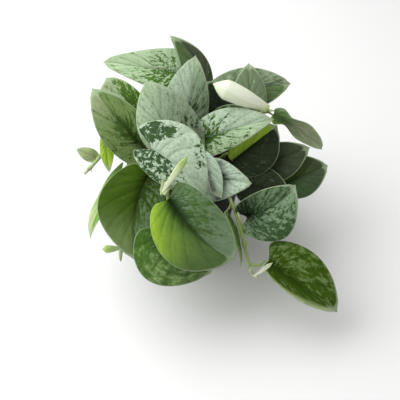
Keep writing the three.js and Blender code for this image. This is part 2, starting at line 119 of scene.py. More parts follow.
class PothosStemSettings(bpy.types.PropertyGroup):
    """Sizes and colours of the vines, petioles, new leaves and buds."""

    vine_radius: length_property("Vine radius", "Radius of a vine where it leaves the compost", 0.0021)
    petiole_radius: length_property("Petiole radius", "Radius of a leaf's stalk", 0.0015)
    roll_thickness: length_property("Roll thickness", "Thickness of a leaf that is still rolled up", 0.0006)
    vine: colour_property("Vine", "Skin of the vines", "#8ba557")
    petiole: colour_property("Petiole", "Skin of the leaf stalks", "#98b062")
    node: colour_property("Node", "Pale skin of the young nodes", "#d5dfb4")
    root: colour_property("Root", "Aerial roots and dry scars", "#8a7350")
    cream: colour_property("Cream", "Rolled leaf where it is palest", "#fbffed")
    shoot: colour_property("Shoot", "Rolled leaf where it turns green", "#a9c36e")


class PothosPotSettings(bpy.types.PropertyGroup):
    """Sizes and colours of the nursery pot."""

    height: length_property("Height", "Height of the pot", POT_HIGH.z)
    rim_radius: length_property("Rim radius", "Outer radius of the pot's rim", POT_HIGH.x)
    base_radius: length_property("Base radius", "Outer radius of the pot's foot", 0.043)
    neck_radius: length_property("Neck radius", "Outer radius of the wall under the rim band", 0.0555)
    band: length_property("Rim band", "Height of the band round the rim", 0.012)
    wall: length_property("Wall", "Thickness of the pot's wall", 0.0016)
    floor: length_property("Floor", "Thickness of the pot's floor", 0.0024)
    drain_radius: length_property("Drain hole radius", "Radius of a drain hole", 0.004)
    drain_circle: length_property("Drain hole circle", "Radius of the ring of drain holes", 0.032)
    drains: IntProperty(name="Drain holes", description="Number of drain holes", default=8, min=0)
    plastic: colour_property("Plastic", "Moulded plastic of the pot", "#101112")


class PothosSoilSettings(bpy.types.PropertyGroup):
    """Sizes and colours of the compost."""

    top: length_property("Top", "Height of the compost's surface", 0.093)
    crumb: length_property("Crumb", "Height of the lumps on the compost", 0.0016)
    chips: IntProperty(name="Chips", description="Bark chips and crumbs on the surface", default=420, min=0)
    peat: colour_property("Peat", "Dark part of the compost", "#231a13")
    bark: colour_property("Bark", "Light part of the compost and its bark chips", "#5a4230")


class PothosStageSettings(bpy.types.PropertyGroup):
    """Floor, light and camera."""

    floor: colour_property("Floor", "Pale floor", "#fafafa")
    sky: FloatProperty(name="Sky", description="Strength of the light from all sides", default=0.35, min=0)
    key: FloatProperty(name="Key", description="Power of the window light", default=18, min=0, unit="POWER")
    lens: FloatProperty(name="Lens", description="Focal length in millimetres", default=58.5, min=1)


# the colours that the rows of the leaves may name
PALETTE = ("silver", "pearl", "dew", "blush", "sage", "mist", "pewter", "ash", "slate", "reed", "fern",
           "leaf", "forest", "moss", "deep", "dusk", "olive", "night", "lime", "straw")

SETTINGS = {
    "pothos_leaf": PothosLeafSettings,
    "pothos_stem": PothosStemSettings,
    "pothos_pot": PothosPotSettings,
    "pothos_soil": PothosSoilSettings,
    "pothos_stage": PothosStageSettings,
}

# ---- form of the plant, its pot and its compost ----

WELD = 1e-7               # points closer than this become one

BLADE_ROWS = 72           # steps of a blade's grid from its heart notch to its tip
BLADE_COLUMNS = 34        # steps across a blade
EVEN_COLUMNS = 0.45       # the rest of the steps crowd at the midrib and the margins
SHOULDER = 0.9            # under 1 makes a leaf's shoulders squarer
TAPER = 0.75              # how much narrower the tip end is than a half circle
DRIP = 0.09               # last share of a leaf that narrows to its drip tip
DRIP_FULLNESS = 0.6       # under 1 keeps the drip tip full until close to its end
HOOK_START = 0.67         # where along the midrib the drip tip begins to bend
MARGIN_WAVE = 0.0009      # height of the slow wave along a margin
MARGIN_WAVE_RATE = 9      # radians of that wave over a leaf's length
WAVE_STEP = 2.4           # radians that the wave is shifted from one leaf to the next
MARGIN_THINNING = 0.5     # share of its thickness that a blade loses at its margin
MARGIN_SHARPNESS = 14     # the higher, the nearer to the margin that thinning begins

VEIN_SLANT = 2.8          # over 1 crowds the side veins' roots towards the base
VEIN_BOW = 1.4            # over 1 bows the side veins towards the tip
VEIN_STAGGER = 0.25       # how far the veins of each half are shifted, in gaps between veins
VEIN_WIDTH = 0.16         # half the width of a side vein's groove, in gaps between veins
MIDRIB_WIDTH = 0.0011     # half the width of the midrib's groove
MIDRIB_FADING = 0.7       # share of its depth that the midrib's groove loses by the tip

NO_SILVER = 0.72          # level of the marks' noise that hardly any point of a blade reaches
SILVER_SPAN = 0.48        # how far below it the level is that nearly every point reaches
GLOW_START = 0.45         # where along a blade the marks begin to take their colour at the tip
DARKEST = 0.95            # most that the valley's darkening and the painted shade together take off a colour
FROST_SHADING = 0.9       # how much of that the silver marks show

PETIOLE_ARCH = 0.1        # rise of a petiole's middle, in petiole lengths
PETIOLE_TURN = 0.007      # longest stretch in which a petiole turns into the blade
PETIOLE_SHEATH = 0.0008   # how much thicker a petiole is where it clasps the vine
SHEATH_REACH = 0.004      # how far up the petiole that is felt
RIB_RADIUS = 0.0006       # radius of the midrib under a blade, at its base
RIB_THINNING = 0.7        # share of its radius that this rib loses by the tip
RIB_STOPS = (0.07, 0.15, 0.3, 0.5, 0.7, 0.88)  # places along the blade that the rib runs through

VINE_STEP = 0.009         # about the length of a vine's step, by which its nodes are counted
VINE_THINNING = 0.25      # share of its radius that a vine loses by its tip
NODE_EVERY = 4            # steps of a vine from one node to the next
NODE_SWELLING = 0.00055   # how much thicker a vine is at a node
NODE_REACH = 0.0026       # how far along the vine that swelling is felt
SCAR_AT = 0.0022          # from a node to the ring scar beside it
SCAR_HEIGHT = 0.00022     # how far the scar stands out
SCAR_WIDTH = 0.0005       # half the width of its ridge
SCAR_STAIN = 0.0009       # half the width of its brown line
AERIAL_ROOTS = 2          # aerial roots at each node
AERIAL_ROOT = (0.0028, 0.0045)  # lengths of the shortest and the longest one
AERIAL_ROOT_RADIUS = 0.0006     # radius of one where it leaves the vine

POT_CORNER = 0.002        # height of the slope where the pot's wall meets its floor
SOIL_GAP = 0.0004         # gap between the compost and the pot's wall
SOIL_LIFT = 0.0003        # how far above that slope the compost ends
SOIL_SAG = 0.0016         # how far the compost's surface drops towards the wall

# points that each vine runs through, from under the compost to its tip
VINES = {
    "front": [(-.009, -.022, .080), (-.010, -.027, .099), (-.012, -.044, .128), (-.014, -.062, .144),
              (-.018, -.075, .152), (-.020, -.082, .153)],
    "low": [(-.030, -.014, .080), (-.033, -.020, .099), (-.042, -.038, .117), (-.049, -.058, .112),
            (-.055, -.080, .100), (-.060, -.098, .092)],
    "left": [(-.030, .005, .080), (-.033, .005, .099), (-.045, .001, .119), (-.062, -.003, .126),
             (-.076, -.006, .128), (-.086, -.015, .121), (-.099, -.025, .112)],
    "back": [(-.005, .022, .080), (-.005, .024, .099), (-.004, .034, .124), (0, .045, .145),
             (.004, .052, .158)],
    "centre": [(.005, -.006, .080), (.005, -.008, .099), (.007, -.014, .112), (.010, -.019, .120)],
    "right": [(.031, .006, .080), (.033, .006, .099), (.043, .002, .112), (.058, -.006, .112),
              (.074, -.014, .104), (.084, -.018, .099)],
    "trailing": [(.028, -.022, .080), (.030, -.027, .099), (.038, -.049, .112), (.045, -.066, .109),
                 (.051, -.084, .099), (.057, -.100, .080), (.062, -.110, .066), (.067, -.112, .064)],
    "upper": [(.020, .020, .080), (.022, .021, .099), (.038, .022, .124), (.056, .018, .142),
              (.070, .012, .156), (.078, .009, .163)],
    "rear_left": [(-.024, .028, .080), (-.026, .031, .099), (-.032, .044, .117), (-.036, .054, .122)],
    "rear_right": [(.010, .034, .080), (.012, .038, .099), (.022, .050, .116), (.032, .058, .122)],
}

# vines whose tips are young and pale
TENDER = ("front", "low", "left", "trailing", "upper")

# A row of a leaf starts with its name, its slot, its vine, the place on that vine that its petiole
# springs from, the seat, where the petiole meets the blade, and the tip. What can differ between
# the halves of a blade is one value, or a pair for the left and the right half, seen from above
# with the tip forward:
#   half      width from the midrib to the margin
#   fold      degrees by which a half slopes up from the midrib
#   curl      degrees by which that slope changes up to the margin
#   notch     how far the base lobe reaches back past the seat, in blade lengths
#   greens    colour at the base
#   ends      colour at the tip, if it is another one
#   brinks    colour along the margin near the base, if it is another one
#   frosts    colour of the silver marks
#   glows     colour of the marks at the tip, if it is another one
#   silver    share of the half that the marks cover
#   crossed   whether the marks lie across the side veins
# These hold for the whole leaf:
#   looks     where its upper face looks
#   bend      degrees by which the midrib bends down
#   hook      degrees by which the drip tip bends down further
#   twists    places along the midrib, each with the degrees that the blade is twisted to there
#   sweep     how far the midrib bows to the left, in blade lengths
#   cleft     how far round the outline the heart notch is felt, in radians
#   point     the higher, the nearer to the tip the blade narrows
#   via       points that the petiole passes between vine and blade
#   fade      stretch of the blade in which the end colours take over
#   brim      where across a half the brink colours start
#   valley    darker middle near the base, partly darker green and partly painted shade in the crease, and how far from the midrib it reaches
#   least     least share of silver, also in a patch
#   soft      how gently the marks fade into the green
#   grain     how much finer the marks are along and across the blade
#   feather   how far the marks fray along the side veins
#   patches   spots with more or less silver: along, across, reach, change of the share
#   shades  painted shadows and shaded sides: along, across, reach, how much darker
# Across, 1 is the left margin and -1 the right one.
IN_HALVES = ("half", "fold", "curl", "notch", "greens", "ends", "brinks", "frosts", "glows", "silver",
             "crossed")
LEAVES = []


def leaf(name, slot, vine, at, seat, tip, **row):
    """Adds a leaf to LEAVES, with what its row leaves out."""
    spec = {
        "name": name, "slot": slot, "vine": vine, "at": at, "seat": Vector(seat), "tip": Vector(tip),
        "index": len(LEAVES), "half": .026, "fold": 12, "curl": -26, "notch": 0.2,
        "greens": "leaf", "ends": None, "brinks": None, "frosts": "sage", "glows": None, "silver": 0.5,
        "crossed": False, "looks": (0, -0.64, 0.77), "bend": 24, "hook": 10, "twists": ((0, 0),),
        "sweep": 0, "cleft": 0.3, "point": 4, "via": (), "fade": (0, 1), "brim": 0.25,
        "valley": (0.35, .0045), "least": 0, "soft": 0.03, "grain": (1, 1), "feather": 0.2,
        "patches": (), "shades": (), **row,
    }
    for key in IN_HALVES:
        if spec[key] is not None and not isinstance(spec[key], tuple):
            spec[key] = (spec[key], spec[key])
    LEAVES.append(spec)


# painted shade: the deep valley is partly shade in the fold, and the left half's pewter frost is painted as
# turned from the light
leaf("leaf_front", "leaf_fresh", "front", 0.97, (-.014, -.086, .147), (.044, -.119, .102),
     half=(.031, .035), looks=(-0.1, -0.7, 0.7), bend=26, fold=(16, 20), sweep=-0.07, notch=0.12, point=6,
     greens=("deep", "leaf"), ends="moss", fade=(0, 0.75), brinks=("leaf", "lime"), brim=0.1,
     frosts=("pewter", "moss"), glows=("ash", "moss"), silver=(0.72, 0.22), least=0.05,
     valley=(0.85, .0055), soft=0.08, grain=(1.5, 1.6), feather=0.3,
     patches=((0.15, 0.4, 0.3, -0.15), (0.45, 0.3, 0.25, -0.3), (1, 0.2, 0.4, 0.3), (0.9, -0.4, 0.4, 0.3),
              (0.1, -0.8, 0.35, -0.4)))
leaf("leaf_centre", "leaf_silver", "front", 0.55, (-.031, -.042, .164), (.018, -.073, .135),
     half=(.036, .023), fold=(12, 14), curl=(-26, -34), sweep=0.05, notch=(0.38, 0.2), cleft=0.2,
     greens="deep", frosts="silver", silver=(1, 0.36), least=0.3, valley=(0.1, .003), grain=(1.3, 1.3),
     crossed=(False, True),
     patches=((-0.08, 0.5, 0.12, -1.5), (-0.22, 0.75, 0.11, -1.3), (0.06, 0.66, 0.09, -1),
              (0.5, 0.9, 0.12, -0.45), (0.66, 0.8, 0.09, -0.4), (0.9, -0.4, 0.35, 0.8)))
# painted light: the crown leaves' right halves are darkened as turned from the light, with the dimmer sage
# frost on leaf_crown_top, and leaf_crown_left's base as in shadow
leaf("leaf_crown_left", "leaf_silver", "centre", 0.6, (-.004, -.020, .141), (-.037, .022, .189),
     half=(.027, .031), sweep=0.05, greens="deep", frosts="dew", silver=(1, 0.95), soft=0.1,
     patches=((0.2, -0.5, 0.28, -0.4),), shades=((0.3, -0.9, 0.55, 0.5), (-0.05, -0.6, 0.25, 0.35)))
leaf("leaf_crown_top", "leaf_silver", "back", 0.35, (.001, .004, .140), (.009, .051, .195),
     half=(.027, .0185), greens="deep", frosts=("silver", "sage"), silver=(1, 0.9), soft=0.1,
     patches=((0.25, -0.4, 0.25, -0.35),), shades=((0.4, -0.8, 0.5, 0.52),))
leaf("leaf_top_left", "leaf_mottled", "back", 0.95, (-.006, .064, .163), (-.085, .080, .164),
     half=(.032, .036), bend=16, hook=4, notch=(0.14, 0.3), point=0.75, ends="fern", frosts="dew",
     silver=(0.52, 0.85), grain=(1.2, 1.5),
     patches=((0.25, -0.5, 0.22, -0.4), (0.2, 0.5, 0.25, -0.15), (0.8, 0.3, 0.3, 0.3)))
leaf("leaf_top_dark", "leaf_dark", "back", 0.8, (.018, .051, .149), (-.017, .086, .192),
     half=(.020, .012), sweep=-0.13, point=2.6, greens=("olive", "dusk"), ends=("moss", "dusk"),
     silver=(0, 0.05), shades=((0.5, 0.6, 1, 0.2),))
leaf("leaf_left_rear", "leaf_mottled", "left", 0.2, (-.035, .010, .139), (-.079, .054, .166),
     half=(.030, .015), point=9, greens="forest", ends="leaf", frosts=("sage", "mist"), glows="blush",
     silver=(0.62, 0.3), grain=(1.5, 2.2), patches=((1, 0, 0.3, 0.6),))
# painted shadow: the base is darkened as in the shadow of another leaf
leaf("leaf_left", "leaf_mottled", "left", 0.35, (-.038, -.022, .141), (-.089, .026, .176),
     half=(.026, .020), greens="forest", ends="moss", frosts="reed", glows=("blush", "reed"),
     silver=(0.75, 0.7), valley=(0.5, .006), soft=0.06, feather=0.35,
     patches=((0.4, 0.1, 0.22, -0.45), (0.9, 0.2, 0.4, 0.3)), shades=((0.12, 0, 0.3, 0.22),))
leaf("leaf_left_small", "leaf_lime", "left", 0.7, (-.078, 0, .134), (-.074, -.027, .116),
     half=.007, greens="lime", silver=0)
leaf("leaf_left_pale", "leaf_lime", "left", 0.8, (-.088, -.012, .121), (-.106, -.009, .130),
     half=.007, greens="straw", silver=0.1)
leaf("leaf_left_edge", "leaf_fresh", "low", 0.35, (-.062, -.022, .115), (-.090, -.084, .087),
     half=.018, looks=(-0.85, -0.3, 0.55), greens="fern", ends=("fern", "straw"), silver=0.1)
leaf("leaf_low_left", "leaf_fresh", "low", 0.5, (-.034, -.052, .139), (-.043, -.115, .092),
     half=(.030, .037), sweep=-0.09, greens="forest", ends=("moss", "reed"), fade=(0.3, 0.85),
     frosts="pewter", silver=(0.5, 0), valley=(0.7, .008), soft=0.13, patches=((1, -0.3, 0.3, 0.5),))
# painted shadow: the lobe that lies in leaf_front's shadow is darkened, with fewer marks
leaf("leaf_bottom", "leaf_mottled", "front", 0.86, (-.013, -.0975, .124), (.023, -.122, .085),
     half=(.028, .048), notch=(0.2, 0.34), point=7, via=((-.015, -.087, .131),), ends="moss",
     brinks=("fern", "leaf"), frosts="mist", silver=(0.47, 0.45), soft=0.26, grain=(0.9, 1.4),
     patches=((0.9, 0, 0.4, -0.25), (-0.1, -0.7, 0.25, -0.35)), shades=((-0.05, -0.3, 0.2, 0.3),))
# painted shadows: leaf_strip is darkened along leaf_centre's edge, and leaf_pointed in a band where
# leaf_strip shades it
leaf("leaf_strip", "leaf_silver", "centre", 0.8, (.011, -.021, .134), (.033, -.066, .123),
     half=(.013, .014), notch=0.1, greens="deep", frosts="pearl", silver=(0.97, 0.85), soft=0.12,
     shades=((0.2, 0.25, 0.13, 0.7), (0.45, 0.05, 0.13, 0.7), (0.66, -0.35, 0.13, 0.7),
             (0.8, -0.7, 0.13, 0.7)))
leaf("leaf_pointed", "leaf_silver", "centre", 0.97, (.014, -.033, .121), (.061, -.051, .127),
     half=(.020, .028), notch=0.14, point=2, greens="deep", frosts="pearl", silver=0.93, valley=(0.8, .009),
     soft=0.12, shades=((0.35, 0.8, 0.1, 0.8), (0.43, 0.35, 0.1, 0.8), (0.47, -0.1, 0.1, 0.8),
                        (0.48, -0.5, 0.1, 0.8), (0.46, -0.9, 0.1, 0.8)))
# painted shade: the base, under leaf_crown_left, is darkened, with fewer marks
leaf("leaf_right_patterned", "leaf_mottled", "upper", 0.25, (.012, -.008, .137), (.082, -.003, .163),
     half=(.0228, .0182), sweep=0.03, notch=(0.2, 0.4), frosts=("silver", "dew"), silver=(0.8, 0.55),
     soft=0.05, grain=(1.5, 1.8), shades=((0.02, 0.1, 0.14, 0.4),),
     patches=((0.25, 0.5, 0.22, -0.35), (0.05, 0.1, 0.16, -0.45), (0.95, 0.3, 0.4, 0.4),
              (0.95, -0.3, 0.4, 0.3)))
# painted light: the left half's lime is painted as lit, and the right half's near-black night as in shade
leaf("leaf_right_folded", "leaf_dark", "right", 0.45, (.044, -.016, .121), (.087, .005, .148),
     half=(.016, .029), fold=(36, 4), notch=(0.03, 0.2), point=7, greens=("lime", "night"),
     frosts=("fern", "slate"), silver=(0.1, 0.25), valley=(0.5, .0045))
leaf("leaf_right_dark", "leaf_dark", "right", 0.75, (.072, -.011, .108), (.120, -.003, .126),
     half=(.017, .022), greens="night", ends="slate", frosts="slate", silver=(0.3, 0.2), soft=0.08)
leaf("leaf_right_under", "leaf_dark", "right", 0.6, (.062, -.032, .103), (.102, -.041, .095),
     half=.022, notch=(0.34, 0.38), greens="night", frosts="slate", silver=0.2)
# painted light: the base and the left half near it are darkened as shade, and the right half's ash frost is
# painted as lit
leaf("leaf_right_low", "leaf_dark", "trailing", 0.45, (.056, -.075, .108), (.101, -.053, .128),
     half=(.020, .032), sweep=-0.1, notch=(0.17, 0.27), cleft=0.22, greens="deep", frosts=("pewter", "ash"),
     silver=(0.55, 0.7), least=0.25, valley=(0.3, .005), soft=0.06, grain=(1.4, 1.5), feather=0.6,
     patches=((0, 0, 0.25, -0.2), (0.3, -1, 0.35, -0.4)),
     shades=((-0.1, 0.2, 0.3, 0.8), (0.1, 0.9, 0.3, 0.6)))
leaf("leaf_far_right", "leaf_dark", "right", 0.97, (.097, -.021, .095), (.139, -.011, .109),
     half=.022, greens=("forest", "deep"), ends="slate", frosts="slate", silver=0.2, soft=0.08)
leaf("leaf_bottom_right", "leaf_mottled", "trailing", 0.88, (.076, -.105, .079), (.142, -.137, .042),
     half=(.033, .014), curl=(-26, -50), notch=(0.17, 0.06), via=((.067, -.107, .076),), greens="forest",
     brinks=("forest", "straw"), brim=0.72, frosts="reed", silver=(0.46, 0.3), valley=(0.5, .006),
     soft=0.12, grain=(0.8, 1.5), feather=0.05)
leaf("leaf_top", "leaf_dark", "upper", 0.85, (.061, .017, .151), (.060, .057, .181),
     half=.017, greens="olive", silver=0, soft=0.08)
leaf("leaf_top_rear", "leaf_mottled", "upper", 0.6, (.035, .043, .152), (.103, .053, .159),
     half=(.024, .020), notch=(0.26, 0.1), greens="olive", ends=("olive", "moss"), frosts=("sage", "ash"),
     silver=(0.42, 0.36), soft=0.2)
leaf("leaf_twisted", "leaf_dark", "upper", 0.95, (.082, .005, .162), (.1305, -.009, .1286),
     half=(.013, .012), looks=(0.1, -0.6, 0.8), twists=((-0.1, -25), (0.26, 80), (0.6, 60)), sweep=0.03,
     notch=(0.08, 0.06), point=8, greens="moss", ends="blush", fade=(0.15, 0.45), brinks=("moss", "lime"),
     brim=0.3, frosts="olive", glows="sage", silver=0.4, soft=0.15, grain=(0.7, 1.5))
leaf("leaf_inner_dark", "leaf_dark", "rear_right", 0.8, (.038, .025, .146), (.017, .045, .168),
     half=.017, notch=0.1, greens="night", frosts="slate", silver=0.3)
leaf("leaf_inner_small", "leaf_dark", "upper", 0.4, (.028, .014, .143), (.065, .016, .155),
     half=.014, greens="deep", frosts="pewter", silver=(0.4, 0.3))
leaf("leaf_rear", "leaf_mottled", "rear_left", 0.7, (-.004, .067, .128), (-.018, .104, .076),
     looks=(0, 0.6, 0.8), silver=(0.6, 0.5), patches=((0.2, 0.5, 0.3, -0.4),))
leaf("leaf_rear_left", "leaf_mottled", "rear_left", 0.95, (-.045, .054, .126), (-.078, .082, .084),
     half=.024, looks=(-0.5, 0.5, 0.7), frosts=("mist", "sage"), silver=(0.5, 0.75))
leaf("leaf_rear_right", "leaf_dark", "rear_right", 0.97, (.038, .062, .126), (.074, .092, .078),
     looks=(0.4, 0.5, 0.7), greens="deep", frosts="pewter", silver=(0.5, 0.6))
leaf("leaf_side_right", "leaf_dark", "right", 0.5, (.065, .024, .112), (.108, .042, .072),
     half=.023, looks=(0.6, 0.3, 0.7), greens="deep", frosts="pewter", silver=(0.45, 0.5))
leaf("leaf_trailing_edge", "leaf_fresh", "trailing", 0.42, (.039, -.073, .106), (.051, -.107, .075),
     half=.007, looks=(0.9, -0.3, 0.3), greens=("leaf", "fern"), frosts="mist", silver=0.35, soft=0.08,
     grain=(1, 2))
leaf("leaf_rear_high", "leaf_mottled", "back", 0.7, (-.002, .060, .141), (-.005, .098, .126),
     half=.021, looks=(0, 0.45, 0.9), silver=(0.7, 0.6))
leaf("leaf_rear_high_right", "leaf_dark", "upper", 0.5, (.047, .050, .136), (.080, .072, .122),
     half=.018, looks=(0.3, 0.4, 0.8), greens="deep", frosts="pewter", silver=0.4)
leaf("leaf_side_left", "leaf_mottled", "left", 0.3, (-.054, .030, .116), (-.075, .057, .072),
     half=.021, looks=(-0.6, 0.4, 0.6), silver=(0.5, 0.6))
leaf("leaf_inner_left", "leaf_mottled", "rear_left", 0.5, (-.022, .022, .126), (-.044, .052, .138),
     half=.017, looks=(-0.1, 0, 1))

# rolled leaves and buds: name, slot, base, tip, width, how far the free margin stands out, in
# radii, and how pale the roll is at its base, in its middle and at its tip
ROLLS = (
    ("new_leaf_upper", "new_leaf", (.076, .009, .166), (.025, .019, .187), .0175, 0.15,
     (0.6, 1.1, 0.7)),
    ("new_leaf_front", "new_leaf", (-.020, -.084, .152), (.003, -.066, .180), .0055, 0.2,
     (0.5, 0.95, -0.5)),
    ("bud_low", "leaf_lime", (-.061, -.099, .092), (-.076, -.102, .095), .0062, 0.3, (0.3, 0, 0)),
    ("bud_trailing", "leaf_lime", (.063, -.112, .065), (.080, -.108, .082), .0036, 0.2, (1, 0.7, 0.3)),
)

# the papery sheaths that young leaves leave on each vine: base, tip, width, how brown
SHEATHS = {
    "front": (((-.0205, -.084, .150), (-.0190, -.0735, .1605), .0036, 0.1),
              ((-.0185, -.085, .151), (-.0105, -.0785, .1570), .0034, 0.2)),
    "trailing": (((.0385, -.051, .1150), (.0450, -.071, .1115), .0028, 0.7),
                 ((.0460, -.066, .1110), (.0530, -.084, .1010), .0024, 0.8),
                 ((.0590, -.108, .0690), (.0635, -.107, .0800), .0028, 0.1)),
    "upper": (((.0760, .008, .1640), (.0820, .003, .1680), .0030, 0.2),),
    "low": (((-.0600, -.098, .0915), (-.0605, -.1055, .0800), .0048, 0.1),),
}

# ---- curves ----


def smooth_between(before, start, end, after, way):
    """A point of the centripetal curve that runs from start to end."""
    gaps = [max((b - a).length, 1e-9) ** 0.5 for a, b in ((before, start), (start, end), (end, after))]
    leave = (start - before) / gaps[0] - (end - before) / (gaps[0] + gaps[1]) + (end - start) / gaps[1]
    reach = (end - start) / gaps[1] - (after - start) / (gaps[1] + gaps[2]) + (after - end) / gaps[2]
    leave, reach = leave * gaps[1], reach * gaps[1]
    square, cube = way * way, way ** 3
    return (start * (2 * cube - 3 * square + 1) + leave * (cube - 2 * square + way)
            + end * (3 * square - 2 * cube) + reach * (cube - square))


def curve_through(knots, steps):
    """steps + 1 points at equal distances along a smooth curve through the knots."""
    knots = [Vector(k) for k in knots]
    ends = [2 * knots[0] - knots[1], *knots, 2 * knots[-1] - knots[-2]]
    fine = 40
    dense = [smooth_between(*ends[i:i + 4], k / fine) for i in range(len(knots) - 1) for k in range(fine)]
    dense.append(knots[-1])
    run = [0.0]
    for a, b in zip(dense, dense[1:]):
        run.append(run[-1] + (b - a).length)
    points, i = [], 0
    for k in range(steps + 1):
        goal = run[-1] * k / steps
        while i < len(run) - 2 and run[i + 1] < goal:
            i += 1
        part = (goal - run[i]) / (run[i + 1] - run[i])
        points.append(dense[i].lerp(dense[i + 1], part))
    return points


def point_on_vine(name, share):
    steps = 400
    return curve_through(VINES[name], steps)[round(share * steps)]


def length_of(points):
    return sum((b - a).length for a, b in zip(points, points[1:]))


# ---- meshes ----


def new_mesh():
    """An empty mesh with the layers that the materials read."""
    bm = bmesh.new()
    bm.loops.layers.uv.new("surface")
    for layer in ("place", "depth"):
        bm.verts.layers.float_vector.new(layer)
    for layer in ("green", "frost"):
        bm.verts.layers.float_color.new(layer)
    for layer in ("silver", "soft", "feather", "vein", "rim", "under", "wear"):
        bm.verts.layers.float.new(layer)
    return bm


def add_sheet(bm, rows, columns, shape, material=0):
    """Adds a grid whose points are moved by shape(vertex, u, v). Returns its faces."""
    made = bmesh.ops.create_grid(bm, x_segments=rows, y_segments=columns, size=0.5)
    uv = bm.loops.layers.uv["surface"]
    faces = list(dict.fromkeys(f for v in made["verts"] for f in v.link_faces))
    for face in faces:
        face.material_index = material
        face.smooth = True
        for loop in face.loops:
            loop[uv].uv = (loop.vert.co.x + 0.5, loop.vert.co.y + 0.5)
    for v in made["verts"]:
        v.co = shape(v, v.co.x + 0.5, v.co.y + 0.5)
    return faces


def add_stem(bm, points, radius_at, sides, material=0, paint=None, channel=0.0):
    """Adds a closed round stem along the points: a sheet rolled round them, drawn in at both ends.

    channel is how deep a groove runs along one side, in radii.
    """
    steps = len(points) - 1
    side = Vector((1, 0.13, 0.07))
    frames = []
    for i, centre in enumerate(points):
        along = (points[min(steps, i + 1)] - points[max(0, i - 1)]).normalized()
        side = (side - along * side.dot(along)).normalized()
        frames.append((centre, side, along.cross(side)))

    def shape(v, u, w):
        centre, across, up = frames[round(u * steps)]
        turn = 2 * math.pi * w
        closed = u < 0.5 / steps or u > 1 - 0.5 / steps
        groove = 1 - channel * math.exp(-(((turn - math.pi) / 0.55) ** 2))
        radius = 0 if closed else radius_at(u) * groove
        if paint:
            paint(v, u)
        return centre + across * (radius * math.cos(turn)) + up * (radius * math.sin(turn))

    return add_sheet(bm, steps, sides, shape, material)


def capped(points, radius_at):
    """The points with one more close to each end, so that a stem's ends are round and not pointed."""

    def beside(end, neighbour, radius):
        return end.lerp(neighbour, min(0.3, 0.25 * radius / max((neighbour - end).length, 1e-6)))

    first, last = points[0], points[-1]
    head = beside(first, points[1], radius_at(0))
    tail = beside(last, points[-2], radius_at(1))
    return [first, head, *points[1:-1], tail, last]


def finish_piece(name, bm, materials, slot, *nodes):
    """Closes the seams, turns the faces out and sets the piece on the frame."""
    bmesh.ops.remove_doubles(bm, verts=bm.verts[:], dist=WELD)
    bmesh.ops.dissolve_degenerate(bm, edges=bm.edges[:], dist=WELD)
    bmesh.ops.recalc_face_normals(bm, faces=bm.faces[:])
    mesh = bpy.data.meshes.new(name)
    bm.to_mesh(mesh)
    bm.free()
    for material in materials:
        mesh.materials.append(material)
    piece = bpy.data.objects.new(name, mesh)
    bpy.context.scene.collection.objects.link(piece)
    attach(piece, ROOT)
    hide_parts(*nodes)
    return piece


# ---- materials ----


class Finish:
    """A material whose nodes are added by short calls that return sockets."""

    def __init__(self, name):
        self.material = bpy.data.materials.new(name)
        self.material.use_nodes = True
        self.tree = self.material.node_tree
        self.tree.nodes.clear()
        self.output = self.tree.nodes.new("ShaderNodeOutputMaterial")

    def put(self, value, socket):
        """Links another node's socket to this one, or gives it a value."""
        if isinstance(value, bpy.types.NodeSocket):
            self.tree.links.new(value, socket)
        elif hasattr(value, "__len__") and len(value) == 3 and socket.type == "RGBA":
            socket.default_value = (*value, 1)
        else:
            socket.default_value = value

    def attribute(self, name, output="Fac"):
        node = self.tree.nodes.new("ShaderNodeAttribute")
        node.attribute_name = name
        return node.outputs[output]

    def place(self):
        return self.tree.nodes.new("ShaderNodeTexCoord").outputs["Object"]

    def maths(self, operation, a, b=0.0, c=0.0, clamp=False):
        node = self.tree.nodes.new("ShaderNodeMath")
        node.operation = operation
        node.use_clamp = clamp
        for value, socket in zip((a, b, c), node.inputs):
            self.put(value, socket)
        return node.outputs[0]

    def vector(self, operation, a, b=(0, 0, 0)):
        node = self.tree.nodes.new("ShaderNodeVectorMath")
        node.operation = operation
        self.put(a, node.inputs[0])
        self.put(b, node.inputs[1])
        return node.outputs[0]

    def step(self, value, low, high, to_low=0.0, to_high=1.0):
        """A smooth step: to_low up to low, to_high from high on."""
        node = self.tree.nodes.new("ShaderNodeMapRange")
        node.interpolation_type = "SMOOTHSTEP"
        for value_, socket in zip((value, low, high, to_low, to_high), node.inputs):
            self.put(value_, socket)
        return node.outputs[0]

    def mix(self, share, a, b):
        """a where share is 0, b where it is 1."""
        node = self.tree.nodes.new("ShaderNodeMix")
        node.data_type = "RGBA"
        self.put(share, node.inputs[0])
        self.put(a, node.inputs[6])
        self.put(b, node.inputs[7])
        return node.outputs[2]

    def scaled(self, tint, factor):
        """The colour, lighter or darker by the factor."""
        node = self.tree.nodes.new("ShaderNodeVectorMath")
        node.operation = "SCALE"
        self.put(tint, node.inputs[0])
        self.put(factor, node.inputs["Scale"])
        return node.outputs[0]

    def noise(self, vector, scale, detail=2.0, roughness=0.5, output="Fac"):
        node = self.tree.nodes.new("ShaderNodeTexNoise")
        self.put(vector, node.inputs["Vector"])
        node.inputs["Scale"].default_value = scale
        node.inputs["Detail"].default_value = detail
        node.inputs["Roughness"].default_value = roughness
        return node.outputs[output]

    def bump(self, height, strength, distance):
        node = self.tree.nodes.new("ShaderNodeBump")
        node.inputs["Strength"].default_value = strength
        node.inputs["Distance"].default_value = distance
        self.put(height, node.inputs["Height"])
        return node.outputs[0]

    def surface(self, base, roughness, normal=None, **constants):
        """Ends the material with its shader, and returns it."""
        node = self.tree.nodes.new("ShaderNodeBsdfPrincipled")
        self.put(base, node.inputs["Base Color"])
        self.put(roughness, node.inputs["Roughness"])
        if normal is not None:
            self.put(normal, node.inputs["Normal"])
        for name, value in constants.items():
            node.inputs[name.replace("_", " ")].default_value = value
        self.tree.links.new(node.outputs[0], self.output.inputs[0])
        return self.material


